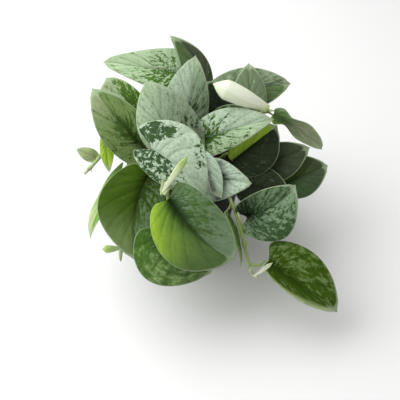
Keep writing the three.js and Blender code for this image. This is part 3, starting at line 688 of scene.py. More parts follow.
def blade_finish(name, settings):
    """Green leaf skin with silver marks that follow the side veins, and a pale margin.

    The attribute place holds millimetres along the midrib and along the side vein, and a number
    that differs from leaf to leaf.
    """
    skin = Finish(name)
    place = skin.attribute("place", "Vector")
    veins = skin.maths("PINGPONG", skin.attribute("vein"), 0.5)
    on_vein = skin.step(veins, 0.02, 0.16, to_low=1, to_high=0)

    # blotches, specks and hatching, whose sum is silver where it is above the point's level
    wander = skin.noise(place, scale=0.25, output="Color")
    wander = skin.scaled(skin.vector("SUBTRACT", wander, (0.5, 0.5, 0.5)), 3.0)
    spot = skin.vector("ADD", place, wander)
    longer = skin.vector("MULTIPLY", spot, (1.0, 0.5, 1.0))
    blotches = skin.noise(longer, scale=0.34, detail=3, roughness=0.6)
    specks = skin.noise(longer, scale=1.2)
    hatch = skin.noise(skin.vector("MULTIPLY", spot, (1.0, 0.14, 1.0)), scale=0.5, detail=4, roughness=0.75)
    level = skin.maths("MULTIPLY_ADD", skin.maths("SUBTRACT", specks, 0.5), 0.35, blotches)
    level = skin.maths("MULTIPLY_ADD", skin.maths("SUBTRACT", hatch, 0.5), skin.attribute("feather"), level)
    level = skin.maths("MULTIPLY_ADD", on_vein, -0.05, level)
    above = skin.maths("SUBTRACT", level, skin.attribute("silver"))
    soft = skin.attribute("soft")
    marked = skin.step(above, skin.maths("MULTIPLY", soft, -0.6), soft)

    # the green, cloudy and darker along the veins
    cloud = skin.noise(place, scale=0.09)
    light = skin.maths("ADD", skin.maths("MULTIPLY", hatch, 0.8), skin.maths("MULTIPLY", cloud, 0.5))
    light = skin.maths("MULTIPLY_ADD", on_vein, -0.16, light)
    green = skin.scaled(skin.attribute("green", "Color"), skin.maths("ADD", light, 0.38))

    # the frost of the marks, with flecks that let the green through
    grain = skin.noise(place, scale=2.4, roughness=0.7)
    glint = skin.maths("ADD", skin.maths("MULTIPLY", grain, 0.3), skin.maths("MULTIPLY", hatch, 0.7))
    frost = skin.scaled(skin.attribute("frost", "Color"), skin.maths("ADD", glint, 0.56))
    flecks = skin.vector("MULTIPLY", place, (1.0, 0.42, 1.0))
    flecks = skin.noise(flecks, scale=0.75, detail=4, roughness=0.85)
    frost = skin.mix(skin.step(flecks, 0.48, 0.62, to_high=0.48), frost, green)

    # marks on the green, then green veins and the pale margin, and the plain lower face
    top = skin.mix(marked, green, frost)
    top = skin.mix(skin.maths("MULTIPLY", on_vein, 0.2), top, green)
    margin = settings.margin * 1000
    at_rim = skin.step(skin.attribute("rim"), 0.35 * margin, margin, to_low=0.7, to_high=0)
    top = skin.mix(at_rim, top, tuple(settings.rim))
    under = skin.scaled(tuple(settings.underside), skin.maths("ADD", light, 0.45))
    under = skin.mix(skin.maths("MULTIPLY", on_vein, 0.35), under, tuple(settings.rim))
    base = skin.mix(skin.attribute("under"), top, under)

    rough = skin.maths("MULTIPLY_ADD", marked, 0.08, 0.5)
    pebble = skin.noise(place, scale=1.7, detail=3, roughness=0.6)
    relief = skin.maths("ADD", skin.maths("MULTIPLY", pebble, 0.5), hatch)
    normal = skin.bump(relief, strength=0.4, distance=0.0003)
    return skin.surface(base, rough, normal, Specular_IOR_Level=0.04)


def stem_finish(name, skin_colour, pale, scar):
    """Smooth green stem skin, paler where young, with dry brown scars where wear says so."""
    skin = Finish(name)
    place = skin.place()
    streaks = skin.noise(skin.vector("MULTIPLY", place, (1.0, 1.0, 0.35)), scale=900, roughness=0.6)
    base = skin.scaled(skin_colour, skin.maths("ADD", skin.maths("MULTIPLY", streaks, 0.5), 0.72))
    base = skin.mix(skin.attribute("silver"), base, pale)
    fleck = skin.noise(place, scale=1500)
    dry = skin.maths("MULTIPLY", skin.attribute("wear"), skin.step(fleck, 0.35, 0.6), clamp=True)
    base = skin.mix(dry, base, scar)
    normal = skin.bump(streaks, strength=0.3, distance=0.0003)
    return skin.surface(base, 0.45, normal, Specular_IOR_Level=0.4)


def roll_finish(name, cream, shoot):
    """Skin of a rolled leaf: pale where silver is high, green where it is low."""
    skin = Finish(name)
    place = skin.attribute("place", "Vector")
    fibres = skin.vector("MULTIPLY", place, (0.12, 1.0, 1.0))
    fibres = skin.noise(fibres, scale=0.9, detail=3, roughness=0.6)
    base = skin.mix(skin.attribute("silver"), shoot, cream)
    base = skin.scaled(base, skin.maths("ADD", skin.maths("MULTIPLY", fibres, 0.3), 0.84))
    normal = skin.bump(fibres, strength=0.3, distance=0.0002)
    return skin.surface(base, 0.4, normal, Specular_IOR_Level=0.4)


def pot_finish(name, plastic):
    """Moulded plastic: fine grain, faint flow marks and a little dust."""
    skin = Finish(name)
    place = skin.place()
    grain = skin.noise(place, scale=2600, roughness=0.6)
    flow = skin.noise(skin.vector("MULTIPLY", place, (1.0, 1.0, 0.15)), scale=60, detail=3)
    dust = skin.step(skin.noise(place, scale=45, detail=4, roughness=0.65), 0.5, 0.78, to_high=0.016)
    base = skin.scaled(plastic, skin.maths("ADD", skin.maths("MULTIPLY", flow, 0.5), 0.75))
    base = skin.mix(dust, base, (0.22, 0.2, 0.17))
    rough = skin.maths("MULTIPLY_ADD", dust, 0.9, 0.42)
    rough = skin.maths("ADD", skin.maths("MULTIPLY", flow, 0.14), rough)
    relief = skin.maths("ADD", skin.maths("MULTIPLY", grain, 0.4), skin.maths("MULTIPLY", flow, 0.8))
    normal = skin.bump(relief, strength=0.25, distance=0.0003)
    return skin.surface(base, rough, normal, Specular_IOR_Level=0.07)


def soil_finish(name, peat, bark):
    """Moist compost: dark peat with lighter fibres, and bark where wear says so."""
    skin = Finish(name)
    place = skin.place()
    clump = skin.noise(place, scale=260, detail=4, roughness=0.7)
    speck = skin.noise(place, scale=1100, detail=3, roughness=0.6)
    share = skin.maths("ADD", skin.step(speck, 0.5, 0.72), skin.attribute("wear"), clamp=True)
    base = skin.mix(skin.maths("MULTIPLY", share, 0.75), peat, bark)
    base = skin.scaled(base, skin.maths("ADD", clump, 0.45))
    relief = skin.maths("ADD", clump, skin.maths("MULTIPLY", speck, 0.5))
    normal = skin.bump(relief, strength=0.8, distance=0.0012)
    return skin.surface(base, 0.92, normal, Specular_IOR_Level=0.2)


# ---- leaves ----


def outline(way, notch, point, cleft):
    """Outline of a flat blade: x along the midrib in lengths, y across in half widths."""
    turn = math.pi * way
    heart = notch * math.exp(-((turn / cleft) ** 2))
    x = (1 - notch) / 2 - ((1 + notch) / 2) * math.cos(turn) + heart
    y = max(math.sin(turn), 0) ** SHOULDER * (1 - TAPER * ((1 - math.cos(turn)) / 2) ** point)
    return x, y * min(1, max(0, (1 - x) / DRIP) ** DRIP_FULLNESS)


def midrib_of(spec):
    """A function that gives how far on, how high and at what heading the midrib is at a place
    along it, and the midrib's length."""
    steps = 40
    xs, zs, headings = [0.0], [0.0], []
    for i in range(steps):
        m = (i + 0.5) / steps
        late = max(0, (m - HOOK_START) / (1 - HOOK_START))
        heading = -math.radians(spec["bend"]) * m - math.radians(spec["hook"]) * late * late
        headings.append(heading)
        xs.append(xs[-1] + math.cos(heading) / steps)
        zs.append(zs[-1] + math.sin(heading) / steps)
    headings.insert(0, headings[0])
    lift = -math.atan2(zs[-1], xs[-1])
    size = (spec["tip"] - spec["seat"]).length / math.hypot(xs[-1], zs[-1])

    def at(m):
        place = min(max(m, 0), 1) * steps
        i = min(int(place), steps - 1)
        part = place - i
        heading = headings[i] * (1 - part) + headings[i + 1] * part
        x = xs[i] * (1 - part) + xs[i + 1] * part
        z = zs[i] * (1 - part) + zs[i + 1] * part
        if m < 0:
            x += m * math.cos(heading)
            z += m * math.sin(heading)
        return (size * (x * math.cos(lift) - z * math.sin(lift)),
                size * (x * math.sin(lift) + z * math.cos(lift)), heading + lift)

    return at, size


def eased(x, start, end):
    """0 up to start, 1 from end on, and smooth between."""
    way = min(max((x - start) / (end - start), 0), 1)
    return way * way * (3 - 2 * way)


def twist_at(twists, x):
    """The angle in degrees that a blade is twisted to at x along its midrib."""
    return twists[0][1] + sum((after - before) * eased(x, start, end)
                              for (start, before), (end, after) in zip(twists, twists[1:]))


def blade_of(spec):
    """A function that places a point of the flat blade in space, with its face normal, and the
    midrib's length."""
    seat = spec["seat"]
    chord = (spec["tip"] - seat).normalized()
    looks = Vector(spec["looks"])
    face = (looks - chord * looks.dot(chord)).normalized()
    left = face.cross(chord)
    midrib, size = midrib_of(spec)
    phase = WAVE_STEP * spec["index"]

    def at(x, y):
        hand, sign = (1, -1) if y < 0 else (0, 1)
        half, across = spec["half"][hand], abs(y)
        fold, curl = math.radians(spec["fold"][hand]), math.radians(spec["curl"][hand]) or 1e-6
        lean = fold + curl * across
        out = half * (math.sin(lean) - math.sin(fold)) / curl
        wave = MARGIN_WAVE * across * across * math.sin(MARGIN_WAVE_RATE * x + phase + 2 * hand)
        rise = half * (math.cos(fold) - math.cos(lean)) / curl + wave
        on, up, heading = midrib(x)
        turn = math.radians(twist_at(spec["twists"], x))
        bow = spec["sweep"] * size * 4 * x * (1 - x)
        sideways = sign * out * math.cos(turn) - rise * math.sin(turn) + bow
        upward = rise * math.cos(turn) + sign * out * math.sin(turn)
        place = (seat + chord * (on - upward * math.sin(heading))
                 + face * (up + upward * math.cos(heading)) + left * sideways)
        tilt = (sign * lean if across else 0) + turn
        normal = (face * (math.cos(heading) * math.cos(tilt)) - chord * (math.sin(heading) * math.cos(tilt))
                  - left * math.sin(tilt))
        return place, normal

    return at, size


def blended(first, second, share):
    """The colour that lies between two, at a share of the way."""
    return [a + (b - a) * share for a, b in zip(first, second)]


def sum_of(patches, x, y):
    """What the round patches of a blade add up to at one of its points."""
    return sum(change * math.exp(-((x - at_x) ** 2 + (0.5 * (y - at_y)) ** 2) / reach ** 2)
               for at_x, at_y, reach, change in patches)


def silver_level(share):
    """The noise level from which a point is silver: low where silver covers much."""
    return NO_SILVER - SILVER_SPAN * min(max(share, 0), 1)


def tints(spec, palette, hand, x, y):
    """The green and the frost of a blade at x along and y across, with painted shade, and how deep in the
    valley it is.
    """
    green, across = palette[spec["greens"][hand]], abs(y)
    if spec["brinks"]:
        past = (across - spec["brim"]) / (0.85 * (1 - spec["brim"]))
        green = blended(green, palette[spec["brinks"][hand]], min(1, max(0, past)))
    if spec["ends"]:
        green = blended(green, palette[spec["ends"][hand]], eased(x, *spec["fade"]))
    frost = palette[spec["frosts"][hand]]
    if spec["glows"]:
        frost = blended(frost, palette[spec["glows"][hand]], eased(x, GLOW_START, 1))
    depth, reach = spec["valley"]
    # the valley's darkening: partly darker green, partly painted shade in the midrib's crease
    sunk = depth * math.exp(-((across * spec["half"][hand] / reach) ** 2)) * max(0, 1 - x) ** 0.7
    # painted shadows and shaded sides from the shade patches add to that darkening
    dark = min(DARKEST, sunk + sum_of(spec["shades"], x, y))
    return [c * (1 - dark) for c in green], [c * (1 - FROST_SHADING * dark) for c in frost], sunk


def add_blade(bm, spec, settings):
    """The blade: a sheet laid out along its side veins, then given its thickness."""
    surface, size = blade_of(spec)
    layers = bm.verts.layers
    place, depth = layers.float_vector["place"], layers.float_vector["depth"]
    green, frost = layers.float_color["green"], layers.float_color["frost"]
    silver, vein, rim = layers.float["silver"], layers.float["vein"], layers.float["rim"]
    soft, feather = layers.float["soft"], layers.float["feather"]
    palette = {name: list(getattr(settings, name)) for name in PALETTE}

    def shape(v, way, across):
        """Places a point: way runs from base to tip, across from the right margin to the left."""
        hand, sign = (0, 1) if across > 0.5 else (1, -1)
        even = abs(2 * across - 1)
        t = EVEN_COLUMNS * even + (1 - EVEN_COLUMNS) * (1 - math.cos(math.pi * even)) / 2
        edge_x, edge_y = outline(way, spec["notch"][hand], spec["point"], spec["cleft"])
        root_x = way ** VEIN_SLANT
        x = root_x + (edge_x - root_x) * t ** VEIN_BOW
        y = sign * edge_y * t
        if way in (0.0, 1.0):
            x, y = edge_x, 0
        point, normal = surface(x, y)
        half = spec["half"][hand]
        phase = way * settings.veins + VEIN_STAGGER * math.tanh(6 * sign * t)
        off_vein = abs(phase - round(phase))
        fade = min(1, 8 * t) * (1 - t ** 4) * math.sin(math.pi * min(max(way, 0), 1)) ** 0.5
        groove = math.exp(-((t * edge_y * half / MIDRIB_WIDTH) ** 2)) * (1 - MIDRIB_FADING * way)
        pressed = settings.vein_depth * math.exp(-((off_vein / VEIN_WIDTH) ** 2)) * fade
        pressed += settings.midrib_depth * groove
        swell = 0.5 * settings.vein_depth * math.sin(math.pi * off_vein) * fade
        thick = settings.thickness * (1 - MARGIN_THINNING * t ** MARGIN_SHARPNESS)
        v[depth] = normal * thick
        along, out = 1000 * size * way, 1000 * sign * half * t
        if spec["crossed"][hand]:
            along, out = 0.7 * (along - out), 0.7 * (along + out)
        finer_along, finer_across = spec["grain"]
        v[place] = (along * finer_along, out * finer_across, 13.7 * (spec["index"] + 1))
        skin_tint, mark_tint, sunk = tints(spec, palette, hand, x, sign * t)
        v[green] = (*skin_tint, 1)
        v[frost] = (*mark_tint, 1)
        share = spec["silver"][hand] + sum_of(spec["patches"], x, sign * t) - 0.5 * sunk
        v[silver] = silver_level(max(share, spec["least"]))
        v[soft] = spec["soft"]
        v[feather] = spec["feather"]
        v[vein] = phase
        v[rim] = 1000 * (1 - t) * half * edge_y
        return point + normal * (thick / 2 - pressed + swell)

    top = add_sheet(bm, BLADE_ROWS, BLADE_COLUMNS, shape)
    verts = list(dict.fromkeys(v for f in top for v in f.verts))
    bmesh.ops.remove_doubles(bm, verts=verts, dist=WELD)
    top = [f for f in bm.faces if f.is_valid]
    lower = bmesh.ops.extrude_face_region(bm, geom=top, use_keep_orig=True)
    under = layers.float["under"]
    for v in lower["geom"]:
        if isinstance(v, bmesh.types.BMVert):
            v.co -= v[depth]
            v[under] = 1


def add_petiole(bm, spec, settings, stem):
    """The leaf's stalk, which springs from the vine and runs on under the blade as its rib."""
    surface, _ = blade_of(spec)
    root = point_on_vine(spec["vine"], spec["at"])
    seat = spec["seat"]
    reach = (seat - root).length
    under, normal = surface(0.02, 0)
    rib, _ = surface(0.12, 0)
    thick = stem.petiole_radius
    slender = min(1, 0.5 + 12 * max(spec["half"]))
    end = under - normal * (0.4 * settings.thickness + settings.midrib_depth + 0.75 * slender * thick)
    highest = root.lerp(seat, 0.45) + Vector((0, 0, PETIOLE_ARCH * reach))
    arch = [Vector(p) for p in spec["via"]] or [highest]
    # it comes in between the blade's way, the blade's face and its own way
    inward = (rib - seat).normalized() * 0.45 + normal * 0.6 + (seat - root).normalized() * 0.3
    turn_in = end - inward.normalized() * min(PETIOLE_TURN, 0.28 * reach)
    ribs = []
    for x in RIB_STOPS:
        point, out = surface(x, 0)
        pressed = settings.midrib_depth * (1 - MIDRIB_FADING * x ** (1 / VEIN_SLANT))
        sunk = 0.45 * settings.thickness + pressed + RIB_RADIUS * (1 - RIB_THINNING * x)
        ribs.append(point - out * sunk)
    knots = [root, *arch, turn_in, end, *ribs]
    whole = curve_through(knots, 64)
    stalk = length_of(curve_through(knots[:-len(ribs)], 24)) / length_of(whole)
    rib = RIB_RADIUS / (slender * thick)

    def radius_at(u):
        if u < stalk:
            sheath = PETIOLE_SHEATH * math.exp(-u * length_of(whole) / SHEATH_REACH)
            return slender * (thick * (1.1 - 0.35 * u / stalk) + sheath)
        past = (u - stalk) / (1 - stalk)
        return slender * thick * (rib * (1 - RIB_THINNING * past) + (0.75 - rib) * math.exp(-past * 25))

    def paint(v, u):
        v[bm.verts.layers.float["silver"]] = 0.1 * min(1, u / stalk)

    add_stem(bm, whole, radius_at, sides=14, material=1, paint=paint, channel=0.22)


def build_leaf(spec, settings, stem, skin, stalk_skin):
    bm = new_mesh()
    add_blade(bm, spec, settings)
    add_petiole(bm, spec, settings, stem)
    finish_piece(spec["name"] + "_blade", bm, [skin, stalk_skin], spec["slot"], spec["name"])


# ---- vines ----


def node_places(steps):
    """Ways along a vine at which its nodes stand."""
    return [k / steps for k in range(NODE_EVERY - 1, steps + 1, NODE_EVERY)]


def add_sheath(bm, base, tip, width, brown):
    """The remnant of a sheath: a slender grooved scale that bows away from the vine."""
    base, tip = Vector(base), Vector(tip)
    middle = base.lerp(tip, 0.5) + Vector((0, -0.3, 0.5)).normalized() * (0.12 * (tip - base).length)

    def paint(v, u):
        v[bm.verts.layers.float["wear"]] = brown * u
        v[bm.verts.layers.float["silver"]] = 0.75 - 0.5 * u

    def radius_at(u):
        return 0.5 * width * (1 - 0.7 * u * u)

    route = curve_through([base, middle, tip], 20)
    add_stem(bm, route, radius_at, sides=12, paint=paint, channel=0.6)


def add_aerial_root(bm, centre, out, reach):
    """A short dry root that stands out from a node and droops at its tip."""
    start, droop = 0.0012, 0.0009
    tip = centre + out * (0.001 + reach) + Vector((0, 0, -droop))
    route = curve_through([centre + out * start, centre + out * (start + 0.6 * reach), tip], 8)

    def paint(v, u):
        v[bm.verts.layers.float["wear"]] = 0.3 + 0.7 * u

    def radius_at(u):
        return AERIAL_ROOT_RADIUS * (1 - 0.75 * u)

    add_stem(bm, route, radius_at, sides=8, paint=paint)


def build_vine(name, stem, skin):
    """A vine with its nodes, their scars, and short aerial roots."""
    length = length_of(curve_through(VINES[name], 200))
    coarse = max(2 * NODE_EVERY, round(length / VINE_STEP))
    steps = 12 * coarse
    nodes = node_places(coarse)
    points = curve_through(VINES[name], steps)
    bm = new_mesh()

    def radius_at(u):
        radius = stem.vine_radius * (1 - VINE_THINNING * u)
        for node in nodes:
            off = (u - node) * length
            radius += NODE_SWELLING * math.exp(-((off / NODE_REACH) ** 2))
            radius += SCAR_HEIGHT * math.exp(-(((off - SCAR_AT) / SCAR_WIDTH) ** 2))
        return radius

    def paint(v, u):
        stains = [math.exp(-(((u - node) * length - SCAR_AT) / SCAR_STAIN) ** 2) for node in nodes]
        v[bm.verts.layers.float["wear"]] = 0.8 * max(stains)
        v[bm.verts.layers.float["silver"]] = max(0, (u - 0.75) / 0.25) * (0.8 if name in TENDER else 0.25)

    add_stem(bm, capped(points, radius_at), radius_at, sides=20, paint=paint)
    rng = random.Random(name)
    for node in nodes:
        centre = points[min(round(node * steps), steps)]
        if centre.z < SOIL_HIGH.z + 0.004:
            continue
        for _ in range(AERIAL_ROOTS):
            turn = rng.uniform(0, 2 * math.pi)
            out = Vector((math.cos(turn), math.sin(turn), rng.uniform(-0.9, -0.3))).normalized()
            add_aerial_root(bm, centre, out, rng.uniform(*AERIAL_ROOT))
    for sheath in SHEATHS.get(name, ()):
        add_sheath(bm, *sheath)
    finish_piece(f"vine_{name}_stem", bm, [skin], "stem", f"vine_{name}")


# ---- rolled leaves and buds ----


def build_roll(name, slot, base, tip, width, stand, pales, stem, skin):
    """A leaf still rolled up: one sheet wound rather more than once round, its free margin outside."""
    base, tip = Vector(base), Vector(tip)
    length = (tip - base).length
    along = (tip - base).normalized()
    side = Vector((0, -0.64, 0.77)).cross(along).normalized()
    up = along.cross(side)
    blunt_from, wound = 0.75, 0.35
    low, middle, high = pales
    bm = new_mesh()
    layers = bm.verts.layers
    silver = layers.float["silver"]
    place, depth = layers.float_vector["place"], layers.float_vector["depth"]
    thick = min(stem.roll_thickness, 0.07 * width)

    def shape(v, u, w):
        """Places a point: u runs from base to tip, w from the margin wound inside to the free one."""
        # slim at the base, widest three quarters up and blunt at the tip
        body = 0.32 + 0.68 * math.sin(math.pi * (0.05 + 0.62 * u)) ** 1.2
        past = max(0, (u - blunt_from) / (1 - blunt_from))
        radius = 0.5 * width * body * max(0.05, 1 - past ** 1.7)
        turns = -wound + (1 + wound) * w
        turn = 2 * math.pi * turns + 0.9 + 0.5 * u
        inside = max(0, -turns) * (1.2 * thick / radius + 0.25)
        radius *= 1 + stand * max(turns, 0) - inside
        margin = 1 - 0.14 * math.exp(-((1 - w) / 0.03) ** 2)
        centre = base + along * (u * length) + up * (0.05 * length * math.sin(math.pi * u))
        out = side * math.cos(turn) + up * (0.7 * math.sin(turn))
        v[depth] = out * thick
        v[place] = (1000 * u * length, 1000 * turn * radius, width * 1000)
        pale = low * (1 - u) ** 2 + middle * 2 * u * (1 - u) + high * u * u
        v[silver] = min(max(pale, 0), 1) * (1 - 0.4 * math.exp(-((1 - w) / 0.05) ** 2))
        return centre + out * (radius * margin)

    sheet = add_sheet(bm, rows=48, columns=64, shape=shape)
    lower = bmesh.ops.extrude_face_region(bm, geom=sheet, use_keep_orig=True)
    for v in lower["geom"]:
        if isinstance(v, bmesh.types.BMVert):
            v.co -= v[depth]
    foot = base - along * 0.002

    def paint(v, u):
        v[silver] = 0.1

    core = curve_through([foot, base + along * 0.003, base + along * 0.35 * length], 20)
    add_stem(bm, core, lambda u: 0.5 * width * (0.42 - 0.2 * u), sides=16, paint=paint)
    finish_piece(name + "_roll", bm, [skin], slot, name)


# ---- pot and soil ----


def inner_radius(pot, z):
    """Inner radius of the pot's tapered wall at the height z."""
    neck = pot.height - pot.band
    return pot.base_radius + (pot.neck_radius - pot.base_radius) * z / neck - pot.wall


def build_pot(pot, skin):
    """The pot: its profile spun round the axis, then drilled for the drain holes."""
    neck = pot.height - pot.band
    base, rim, top = pot.base_radius, pot.rim_radius, pot.height
    corner = pot.floor + POT_CORNER
    profile = [
        (0, 0), (.022, 0), (.0225, .0006), (base - .006, .0006), (base - .0055, 0), (base - .0015, 0),
        (base - .0005, .0004), (base, .0015), (base + (pot.neck_radius - base) * .5, neck * .5),
        (pot.neck_radius, neck - .001), (rim - .0026, neck - .0004), (rim - .0016, neck),
        (rim - .0012, neck + .001), (rim - .0011, neck + .005), (rim - .001, top - .003),
        (rim - .0003, top - .0026), (rim, top - .002), (rim, top - .0006), (rim - .0006, top),
        (rim - .002, top), (rim - .0026, top - .0006), (rim - .003, neck + .0016),
        (inner_radius(pot, neck), neck), (inner_radius(pot, neck * .5), neck * .5),
        (inner_radius(pot, corner), corner), (inner_radius(pot, pot.floor) - .0015, pot.floor),
        (0, pot.floor),
    ]
    bm = new_mesh()
    verts = [bm.verts.new((x, 0, z)) for x, z in profile]
    edges = [bm.edges.new(pair) for pair in zip(verts, verts[1:])]
    bmesh.ops.spin(bm, geom=verts + edges, axis=(0, 0, 1), cent=(0, 0, 0), angle=2 * math.pi, steps=128,
                   use_merge=True)
    for face in bm.faces:
        face.smooth = True
    piece = finish_piece("pot_shell", bm, [skin], "pot", "pot")
    drill = drain_drill(pot)
    cut = piece.modifiers.new("drain holes", "BOOLEAN")
    cut.operation, cut.solver, cut.object = "DIFFERENCE", "EXACT", drill
    apply_modifiers(piece)
    bpy.data.objects.remove(drill)
    mark_sharp(piece, angle=35)


def drain_drill(pot):
    """The round bars that the drain holes are drilled with."""
    bm = bmesh.new()
    for k in range(pot.drains):
        turn = 2 * math.pi * (k + 0.5) / pot.drains
        made = bmesh.ops.create_cone(bm, cap_ends=True, segments=32, radius1=pot.drain_radius,
                                     radius2=pot.drain_radius, depth=4 * pot.floor)
        move = Vector((pot.drain_circle * math.cos(turn), pot.drain_circle * math.sin(turn), 0))
        bmesh.ops.translate(bm, verts=made["verts"], vec=move)
    mesh = bpy.data.meshes.new("drain_drill")
    bm.to_mesh(mesh)
    bm.free()
    drill = bpy.data.objects.new("drain_drill", mesh)
    bpy.context.scene.collection.objects.link(drill)
    return drill


def apply_modifiers(piece):
    """Puts the result of the piece's modifiers in its mesh."""
    seen = piece.evaluated_get(bpy.context.evaluated_depsgraph_get())
    mesh = bpy.data.meshes.new_from_object(seen)
    piece.modifiers.clear()
    piece.data = mesh


def mark_sharp(piece, angle):
    """Keeps the edges that turn by more than the angle in degrees crisp."""
    bm = bmesh.new()
    bm.from_mesh(piece.data)
    for edge in bm.edges:
        edge.smooth = len(edge.link_faces) == 2 and edge.calc_face_angle(0) < math.radians(angle)
    bm.to_mesh(piece.data)
    bm.free()


def build_soil(pot, soil, skin):
    """The compost: a lumpy disc let down into the pot, strewn with crumbs and bark chips."""
    middle, bottom = 0.05, pot.floor + (POT_CORNER + SOIL_LIFT)
    edge = inner_radius(pot, soil.top - 0.002) - SOIL_GAP
    bm = new_mesh()
    wear = bm.verts.layers.float["wear"]

    def height(x, y):
        here = Vector((x, y, 0))
        lumps = noise.noise(here * 90) + 0.6 * noise.noise(here * 260) + 0.35 * noise.noise(here * 620)
        sag = SOIL_SAG * min(1, math.hypot(x, y) / edge) ** 6
        return soil.top + soil.crumb * 0.55 * lumps - sag

    def shape(v, u, w):
        a, b = 2 * u - 1, 2 * w - 1
        x = a * math.sqrt(1 - b * b / 2) * edge
        y = b * math.sqrt(1 - a * a / 2) * edge
        return Vector((x, y, height(x, y)))

    add_sheet(bm, rows=110, columns=110, shape=shape)
    brink = [e for e in bm.edges if e.is_boundary]
    for z in (middle, bottom):
        wall = bmesh.ops.extrude_edge_only(bm, edges=brink)["geom"]
        for v in wall:
            if isinstance(v, bmesh.types.BMVert):
                flat = Vector((v.co.x, v.co.y, 0)).normalized() * (inner_radius(pot, z) - SOIL_GAP)
                v.co = Vector((flat.x, flat.y, z))
        brink = [e for e in wall if isinstance(e, bmesh.types.BMEdge) and e.is_boundary]
    bmesh.ops.holes_fill(bm, edges=brink, sides=0)

    # many small crumbs and some larger chips, each an uneven pebble pressed into the surface
    rng = random.Random(41)
    for _ in range(soil.chips):
        reach, turn = edge * math.sqrt(rng.random()) * 0.96, rng.uniform(0, 2 * math.pi)
        x, y = reach * math.cos(turn), reach * math.sin(turn)
        size = rng.uniform(0.0006, 0.0016) if rng.random() < 0.75 else rng.uniform(0.0016, 0.0034)
        chip = bmesh.ops.create_icosphere(bm, subdivisions=1, radius=size)["verts"]
        spread = Vector((rng.uniform(0.8, 1.5), rng.uniform(0.5, 1.0), rng.uniform(0.35, 0.7)))
        turned = rng.uniform(0, 2 * math.pi)
        tone = rng.random() ** 2
        for v in chip:
            p = Vector((v.co.x * spread.x, v.co.y * spread.y, v.co.z * spread.z)) * rng.uniform(0.85, 1.15)
            v.co = Vector((x + p.x * math.cos(turned) - p.y * math.sin(turned),
                           y + p.x * math.sin(turned) + p.y * math.cos(turned),
                           height(x, y) + 0.2 * size + p.z))
            v[wear] = tone
    finish_piece("soil_bed", bm, [skin], "soil", "soil")


# ---- stage ----


def build_stage(stage):
    """Pale floor, light from the sky and a window, and the camera."""
    scene = bpy.context.scene
    scene.view_settings.view_transform = "Standard"
    bm = bmesh.new()
    bmesh.ops.create_grid(bm, x_segments=1, y_segments=1, size=4)
    mesh = bpy.data.meshes.new("floor")
    bm.to_mesh(mesh)
    bm.free()
    pale = Finish("floor_pale")
    cloud = pale.noise(pale.place(), scale=3)
    shade = pale.maths("ADD", pale.maths("MULTIPLY", cloud, 0.02), 0.98)
    mesh.materials.append(pale.surface(pale.scaled(tuple(stage.floor), shade), 0.9))
    floor = bpy.data.objects.new("floor", mesh)
    scene.collection.objects.link(floor)

    world = bpy.data.worlds.new("studio")
    world.use_nodes = True
    sky = world.node_tree.nodes["Background"]
    sky.inputs["Color"].default_value = (1.0, 1.0, 0.98, 1)
    sky.inputs["Strength"].default_value = stage.sky
    scene.world = world

    # each light's name, place, aim, size and power
    plant = (0, -0.02, 0.13)
    add_light("window", (-0.6, 0.3, 1.2), plant, 1.6, stage.key)
    add_light("side_window", (-0.9, -0.1, 1.0), plant, 1.2, 0.28 * stage.key)
    add_light("fill", (0.6, -1.0, 1.0), plant, 1.2, 0.06 * stage.key)

    camera = bpy.data.objects.new("camera", bpy.data.cameras.new("camera"))
    scene.collection.objects.link(camera)
    aim = Vector((0.013, -0.0306, 0.0793))
    distance, elevation = 0.65, math.radians(50)
    camera.location = aim + Vector((0, -math.cos(elevation), math.sin(elevation))) * distance
    camera.rotation_euler = (math.radians(90) - elevation, 0, 0)
    camera.data.lens = stage.lens
    scene.camera = camera


def add_light(name, place, aim, size, power):
    lamp = bpy.data.lights.new(name, "AREA")
    lamp.shape, lamp.size, lamp.energy = "DISK", size, power
    light = bpy.data.objects.new(name, lamp)
    light.location = place
    light.rotation_euler = (Vector(aim) - Vector(place)).to_track_quat("-Z", "Y").to_euler()
    bpy.context.scene.collection.objects.link(light)


# ---- operators ----


class POTHOS_OT_pot(bpy.types.Operator):
    """Makes the nursery pot"""

    bl_idname = "pothos.pot"
    bl_label = "Pot"

    def execute(self, context):
        pot = context.scene.pothos_pot
        build_pot(pot, pot_finish("pot_plastic", tuple(pot.plastic)))
        return {"FINISHED"}


class POTHOS_OT_soil(bpy.types.Operator):
    """Fills the pot with compost"""

    bl_idname = "pothos.soil"
    bl_label = "Compost"

    def execute(self, context):
        pot, soil = context.scene.pothos_pot, context.scene.pothos_soil
        build_soil(pot, soil, soil_finish("compost", tuple(soil.peat), tuple(soil.bark)))
        return {"FINISHED"}


class POTHOS_OT_vines(bpy.types.Operator):
    """Grows the vines out of the compost"""

    bl_idname = "pothos.vines"
    bl_label = "Vines"

    def execute(self, context):
        stem = context.scene.pothos_stem
        skin = stem_finish("vine_skin", tuple(stem.vine), tuple(stem.node), tuple(stem.root))
        for name in VINES:
            build_vine(name, stem, skin)
        return {"FINISHED"}


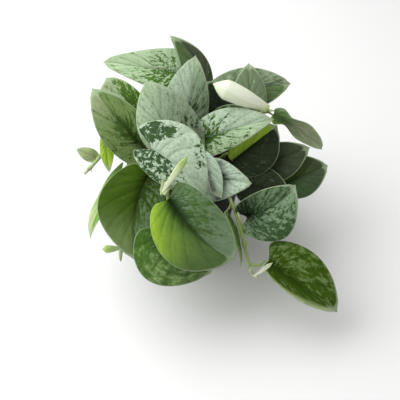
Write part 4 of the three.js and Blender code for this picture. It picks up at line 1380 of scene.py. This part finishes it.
class POTHOS_OT_leaves(bpy.types.Operator):
    """Grows every open leaf with its petiole"""

    bl_idname = "pothos.leaves"
    bl_label = "Leaves"

    def execute(self, context):
        settings, stem = context.scene.pothos_leaf, context.scene.pothos_stem
        stalk_skin = stem_finish("petiole_skin", tuple(stem.petiole), tuple(stem.node), tuple(stem.root))
        skins = {slot: blade_finish(slot, settings) for slot in sorted({spec["slot"] for spec in LEAVES})}
        for spec in LEAVES:
            build_leaf(spec, settings, stem, skins[spec["slot"]], stalk_skin)
        return {"FINISHED"}


class POTHOS_OT_rolled_leaves(bpy.types.Operator):
    """Adds the new leaves that are still rolled up, and the buds"""

    bl_idname = "pothos.rolled_leaves"
    bl_label = "Rolled leaves and buds"

    def execute(self, context):
        stem = context.scene.pothos_stem
        skin = roll_finish("rolled_leaf", tuple(stem.cream), tuple(stem.shoot))
        for roll in ROLLS:
            build_roll(*roll, stem, skin)
        return {"FINISHED"}


class POTHOS_OT_stage(bpy.types.Operator):
    """Sets up the pale floor, the light and the camera"""

    bl_idname = "pothos.stage"
    bl_label = "Stage"

    def execute(self, context):
        build_stage(context.scene.pothos_stage)
        return {"FINISHED"}


OPERATORS = (POTHOS_OT_pot, POTHOS_OT_soil, POTHOS_OT_vines, POTHOS_OT_leaves, POTHOS_OT_rolled_leaves,
             POTHOS_OT_stage)


class POTHOS_PT_sidebar(bpy.types.Panel):
    """Lists the steps and the settings"""

    bl_label = "Satin Pothos"
    bl_idname = "POTHOS_PT_sidebar"
    bl_space_type = "VIEW_3D"
    bl_region_type = "UI"
    bl_category = "Satin Pothos"

    def draw(self, context):
        layout = self.layout
        for operator in OPERATORS:
            layout.operator(operator.bl_idname)
        for name in SETTINGS:
            box = layout.box()
            group = getattr(context.scene, name)
            for prop in group.bl_rna.properties:
                if not prop.is_readonly and prop.identifier != "name":
                    box.prop(group, prop.identifier)


CLASSES = (*SETTINGS.values(), *OPERATORS, POTHOS_PT_sidebar)


def register():
    for cls in CLASSES:
        bpy.utils.register_class(cls)
    for name, group in SETTINGS.items():
        setattr(bpy.types.Scene, name, PointerProperty(type=group))


def unregister():
    for name in SETTINGS:
        delattr(bpy.types.Scene, name)
    for cls in reversed(CLASSES):
        bpy.utils.unregister_class(cls)


def main():
    register()
    bpy.ops.pothos.pot()
    bpy.ops.pothos.soil()
    bpy.ops.pothos.vines()
    bpy.ops.pothos.leaves()
    bpy.ops.pothos.rolled_leaves()
    bpy.ops.pothos.stage()


if __name__ == "__main__":
    main()
